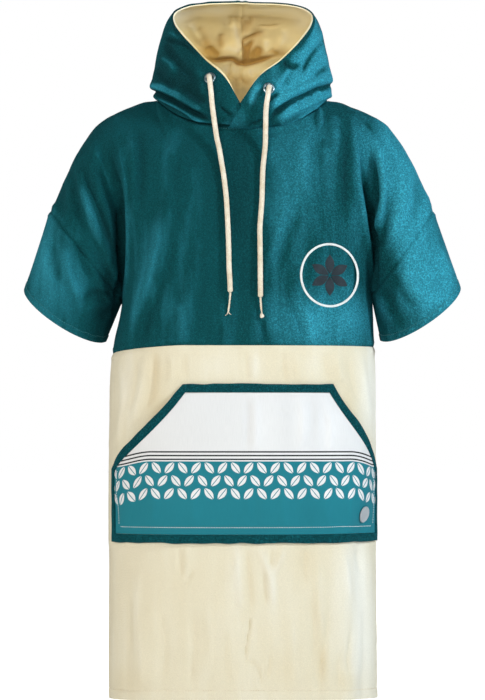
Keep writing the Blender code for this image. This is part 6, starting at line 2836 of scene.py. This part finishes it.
@dataclass(frozen=True)
class Studio:
    """Plain white studio: pale floor, bright surround, one strong key and weak fills."""

    eye: Point = (0.00086, -5.5, -0.55)
    frame_height: float = 1.204
    frame_middle: float = -0.42656
    sensor: float = 24.0
    floor_level: float = -1.12
    floor_half: float = 30.0
    floor_glow: float = 0.10
    floor_seen_glow: float = 0.86
    surround: float = 0.20

    def camera(self) -> None:
        """Level camera in front, with the frame shifted up to the garment."""
        data = bpy.data.cameras.new("camera")
        data.sensor_fit, data.sensor_height = "VERTICAL", self.sensor
        data.lens = self.sensor * -self.eye[1] / self.frame_height
        data.shift_y = (self.frame_middle - self.eye[2]) / self.frame_height
        made = bpy.data.objects.new("camera", data)
        made.location, made.rotation_euler = self.eye, (math.pi / 2, 0.0, 0.0)
        bpy.context.scene.collection.objects.link(made)
        bpy.context.scene.camera = made

    def lamp(self, name: str, place: Point, target: Point, power: float, kind: str = "AREA",
             **settings: object) -> None:
        """Light aimed at a point: a square soft one, or of another kind.

        Args:
            name: Its name.
            place: Where it stands.
            target: The point that it is aimed at.
            power: Its power in watts.
            kind: Its kind.
            settings: Other properties of the light.
        """
        data = bpy.data.lights.new(name, kind)
        data.energy = power
        for label, value in settings.items():
            setattr(data, label, value)
        made = bpy.data.objects.new(name, data)
        made.location = place
        made.rotation_euler = (Vector(target) - Vector(place)).to_track_quat("-Z", "Y").to_euler()
        bpy.context.scene.collection.objects.link(made)

    def glow(self, graph: Graph, low: float, high: float) -> Socket:
        """Strength of a light surface: low as a light, high where the camera sees it."""
        return graph.between(graph.add("LightPath", out="Is Camera Ray"), 0.0, 1.0, low, high)

    def surroundings(self) -> None:
        """World that lights weakly from all round and is white where it is seen."""
        world = bpy.data.worlds.new("studio")
        world.use_nodes = True
        bpy.context.scene.world = world
        graph = Graph(world.node_tree)
        graph.feed(world.node_tree.nodes["Background"],
                   {"Color": WHITE, "Strength": self.glow(graph, self.surround, 1.0)})

    def floor(self) -> None:
        """Wide pale floor, bright enough to run into the surround."""
        graph = Graph.finish("pale_floor", roughness=0.9, emission_color=WHITE)
        tone = graph.between(graph.noise(graph.place(), 1.5), 0.3, 0.7)
        graph.feed(graph.shader(), {
            "Base Color": graph.mix(tone, opaque((0.88,) * 3), opaque((0.90,) * 3)),
            "Emission Strength": self.glow(graph, self.floor_glow, self.floor_seen_glow)})
        mesh = bpy.data.meshes.new("floor")
        half = self.floor_half
        mesh.from_pydata([(x * half, y * half, self.floor_level)
                          for x, y in ((-1, -1), (1, -1), (1, 1), (-1, 1))], [], [(0, 1, 2, 3)])
        mesh.materials.append(graph.made)
        floor = bpy.data.objects.new("floor", mesh)
        bpy.context.scene.collection.objects.link(floor)
        floor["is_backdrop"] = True

    def build(self) -> None:
        """Floor, surround and lights."""
        view = bpy.context.scene.view_settings
        view.view_transform, view.look = "Standard", "None"
        self.surroundings()
        self.floor()
        for name, place, height, size, power, colour in (
                ("key", (3.0, -1.9, 1.3), -0.35, 0.5, 102.0, (0.82, 0.93, 1.0)),
                ("front_fill", (-1.3, -4.2, 0.5), -0.4, 1.6, 78.0, (1.0, 0.985, 0.93)),
                ("left_fill", (-3.4, -1.6, -0.3), -0.5, 1.4, 30.0, (1.0, 1.0, 0.90)),
                ("back_fill", (1.2, 4.6, 0.6), -0.4, 1.8, 55.0, (1.0, 1.0, 1.0))):
            self.lamp(name, place, (0.0, 0.0, height), power, shape="SQUARE", size=size,
                      color=colour)
        self.lamp("hood_spot", (0.15, -2.4, 0.55), (0.0, 0.05, 0.11), 54.0, "SPOT",
                  spot_size=math.radians(9.0), spot_blend=0.8, shadow_soft_size=0.10)


@dataclass(frozen=True)
class Poncho:
    """The whole poncho, built and dressed in order."""

    finishes: Finishes
    upper: Upper = Upper()
    lower: Lower = Lower()
    hood: Hood = Hood()
    pocket: Pocket = Pocket()
    badge: Badge = Badge()
    stitching: Stitching = Stitching()
    neck_stitch: float = 0.0085
    neck_bare: tuple[float, float] = (-0.052, 0.036)

    def dress(self, cloth: Cloth, node: str, finish: str,
              cut: tuple[float, float] | None = None) -> None:
        """Build one cloth piece that stands for its solid, hide the solid and log its area.

        Args:
            cloth: The piece.
            node: The solid's name.
            finish: Name of its finish.
            cut: Its flat size, or None for the patch, which isn't cloth.
        """
        made = cloth.build(node + ("_cloth" if cut else "_disc"), self.finishes[finish])
        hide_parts(node)
        LOG.info("%s: %.4f m2", made.name, cloth.area())

    def sew(self, name: str, cloth: Cloth, thread: str, *paths: Array) -> None:
        """Stitches of one thread along paths on a cloth piece."""
        self.stitching.build(name, list(paths), Ground.of(cloth), self.finishes[thread])

    def strings(self) -> None:
        """Both ends of the drawstring."""
        for string in STRINGS:
            braid = string.braid(self.finishes["cream_braid"])
            tail = string.thin_end(self.finishes["cream_braid"])
            string.declare(braid, tail)

    def body(self) -> Cloth:
        """Upper and lower panels and the sleeves.

        Returns:
            The upper front panel.
        """
        uppers = []
        for back, word in ((False, "front"), (True, "back")):
            upper, lower = self.upper.panel(back), self.lower.panel(back)
            uppers.append(upper)
            self.dress(upper, word + "_upper", "teal", (0.86, 0.50))
            self.dress(lower, word + "_lower", "cream", (0.62, 0.64))
            self.sew(word + "_hem_stitches", lower, "cream_thread",
                     self.line_at(lower, self.lower.hem.depth, False))
        neck = self.line_at(uppers[0], self.neck_stitch, True)
        bare = (neck[:, 0] > self.neck_bare[0]) & (neck[:, 0] < self.neck_bare[1])
        self.sew("neck_stitches", uppers[0], "teal_thread", neck[bare])
        for hand in Hand:
            sleeve, name = self.upper.sleeve(hand), hand.piece("sleeve")
            self.dress(sleeve, name, "teal", (0.48, 0.16))
            self.sew(name + "_stitches", sleeve, "teal_thread",
                     self.line_at(sleeve, self.upper.hem.depth, True))
        return uppers[0]

    def line_at(self, cloth: Cloth, reach: float, last: bool) -> Array:
        """Run of surface points this far in from the first or last row.

        Args:
            cloth: The piece.
            reach: How far in, in metres.
            last: Whether from the last row.

        Returns:
            Points, one for each column.
        """
        walked = edge_reach(cloth.outer, 0, last)
        row = np.argmin(np.abs(walked - reach), axis=0)
        columns = np.arange(cloth.outer.shape[1])
        step_row = row + np.where(walked[row, columns] > reach, 1 if last else -1, 0)
        step_row = np.clip(step_row, 0, cloth.outer.shape[0] - 2)
        low, high = walked[step_row, columns], walked[step_row + 1, columns]
        share = np.clip((reach - low) / np.where(high == low, 1.0, high - low), 0, 1)[:, None]
        start, end = cloth.outer[step_row, columns], cloth.outer[step_row + 1, columns]
        return start + (end - start) * share

    def head(self) -> None:
        """Hood, lining and eyelets."""
        for hand in Hand:
            for cloth, kind, slot, finish in (
                    (self.hood.shell(hand), "hood", "teal_terry", "teal"),
                    (self.hood.lining(hand), "lining", "lining_cream", "lining")):
                self.dress(cloth, hand.piece(kind), finish, (0.42, 0.40))
        for eyelet in (Eyelet(Hand.LEFT, -34.8, 0.825, 0.0001),
                       Eyelet(Hand.RIGHT, 24.5, 0.738, -0.0011)):
            eyelet.build(self.finishes)

    def front(self, upper: Cloth) -> None:
        """Pocket with its stitches, and the badge on the chest.

        Args:
            upper: The upper front panel.
        """
        binding, panel = self.pocket.binding(), self.pocket.panel()
        self.dress(binding, "pocket_border", "binding", (1.55, 0.020))
        self.dress(panel, "pocket_panel", "weave", (0.50, 0.25))
        self.dress(self.pocket.patch(), "pocket_patch", "rubber")
        self.sew("pocket_stitches", panel, "white_thread", panel.outer[3, 4:-4],
                 panel.outer[4:28, -4], panel.outer[4:28, 3])
        self.badge.build(Ground.of(upper), self.finishes)

    def build(self) -> None:
        """Everything, cords first."""
        self.strings()
        upper = self.body()
        self.head()
        self.front(upper)


def corners() -> list[list[float]]:
    """Lowest and highest corner of what is shown, as plain lists."""
    return [list(corner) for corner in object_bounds()]


def main() -> None:
    """Load the frame, and build the studio and the poncho."""
    logging.basicConfig(level=logging.INFO, format="%(name)s: %(message)s")
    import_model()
    studio = Studio()
    studio.camera()
    Poncho(build_finishes()).build()
    studio.build()


if __name__ == "__main__":
    main()
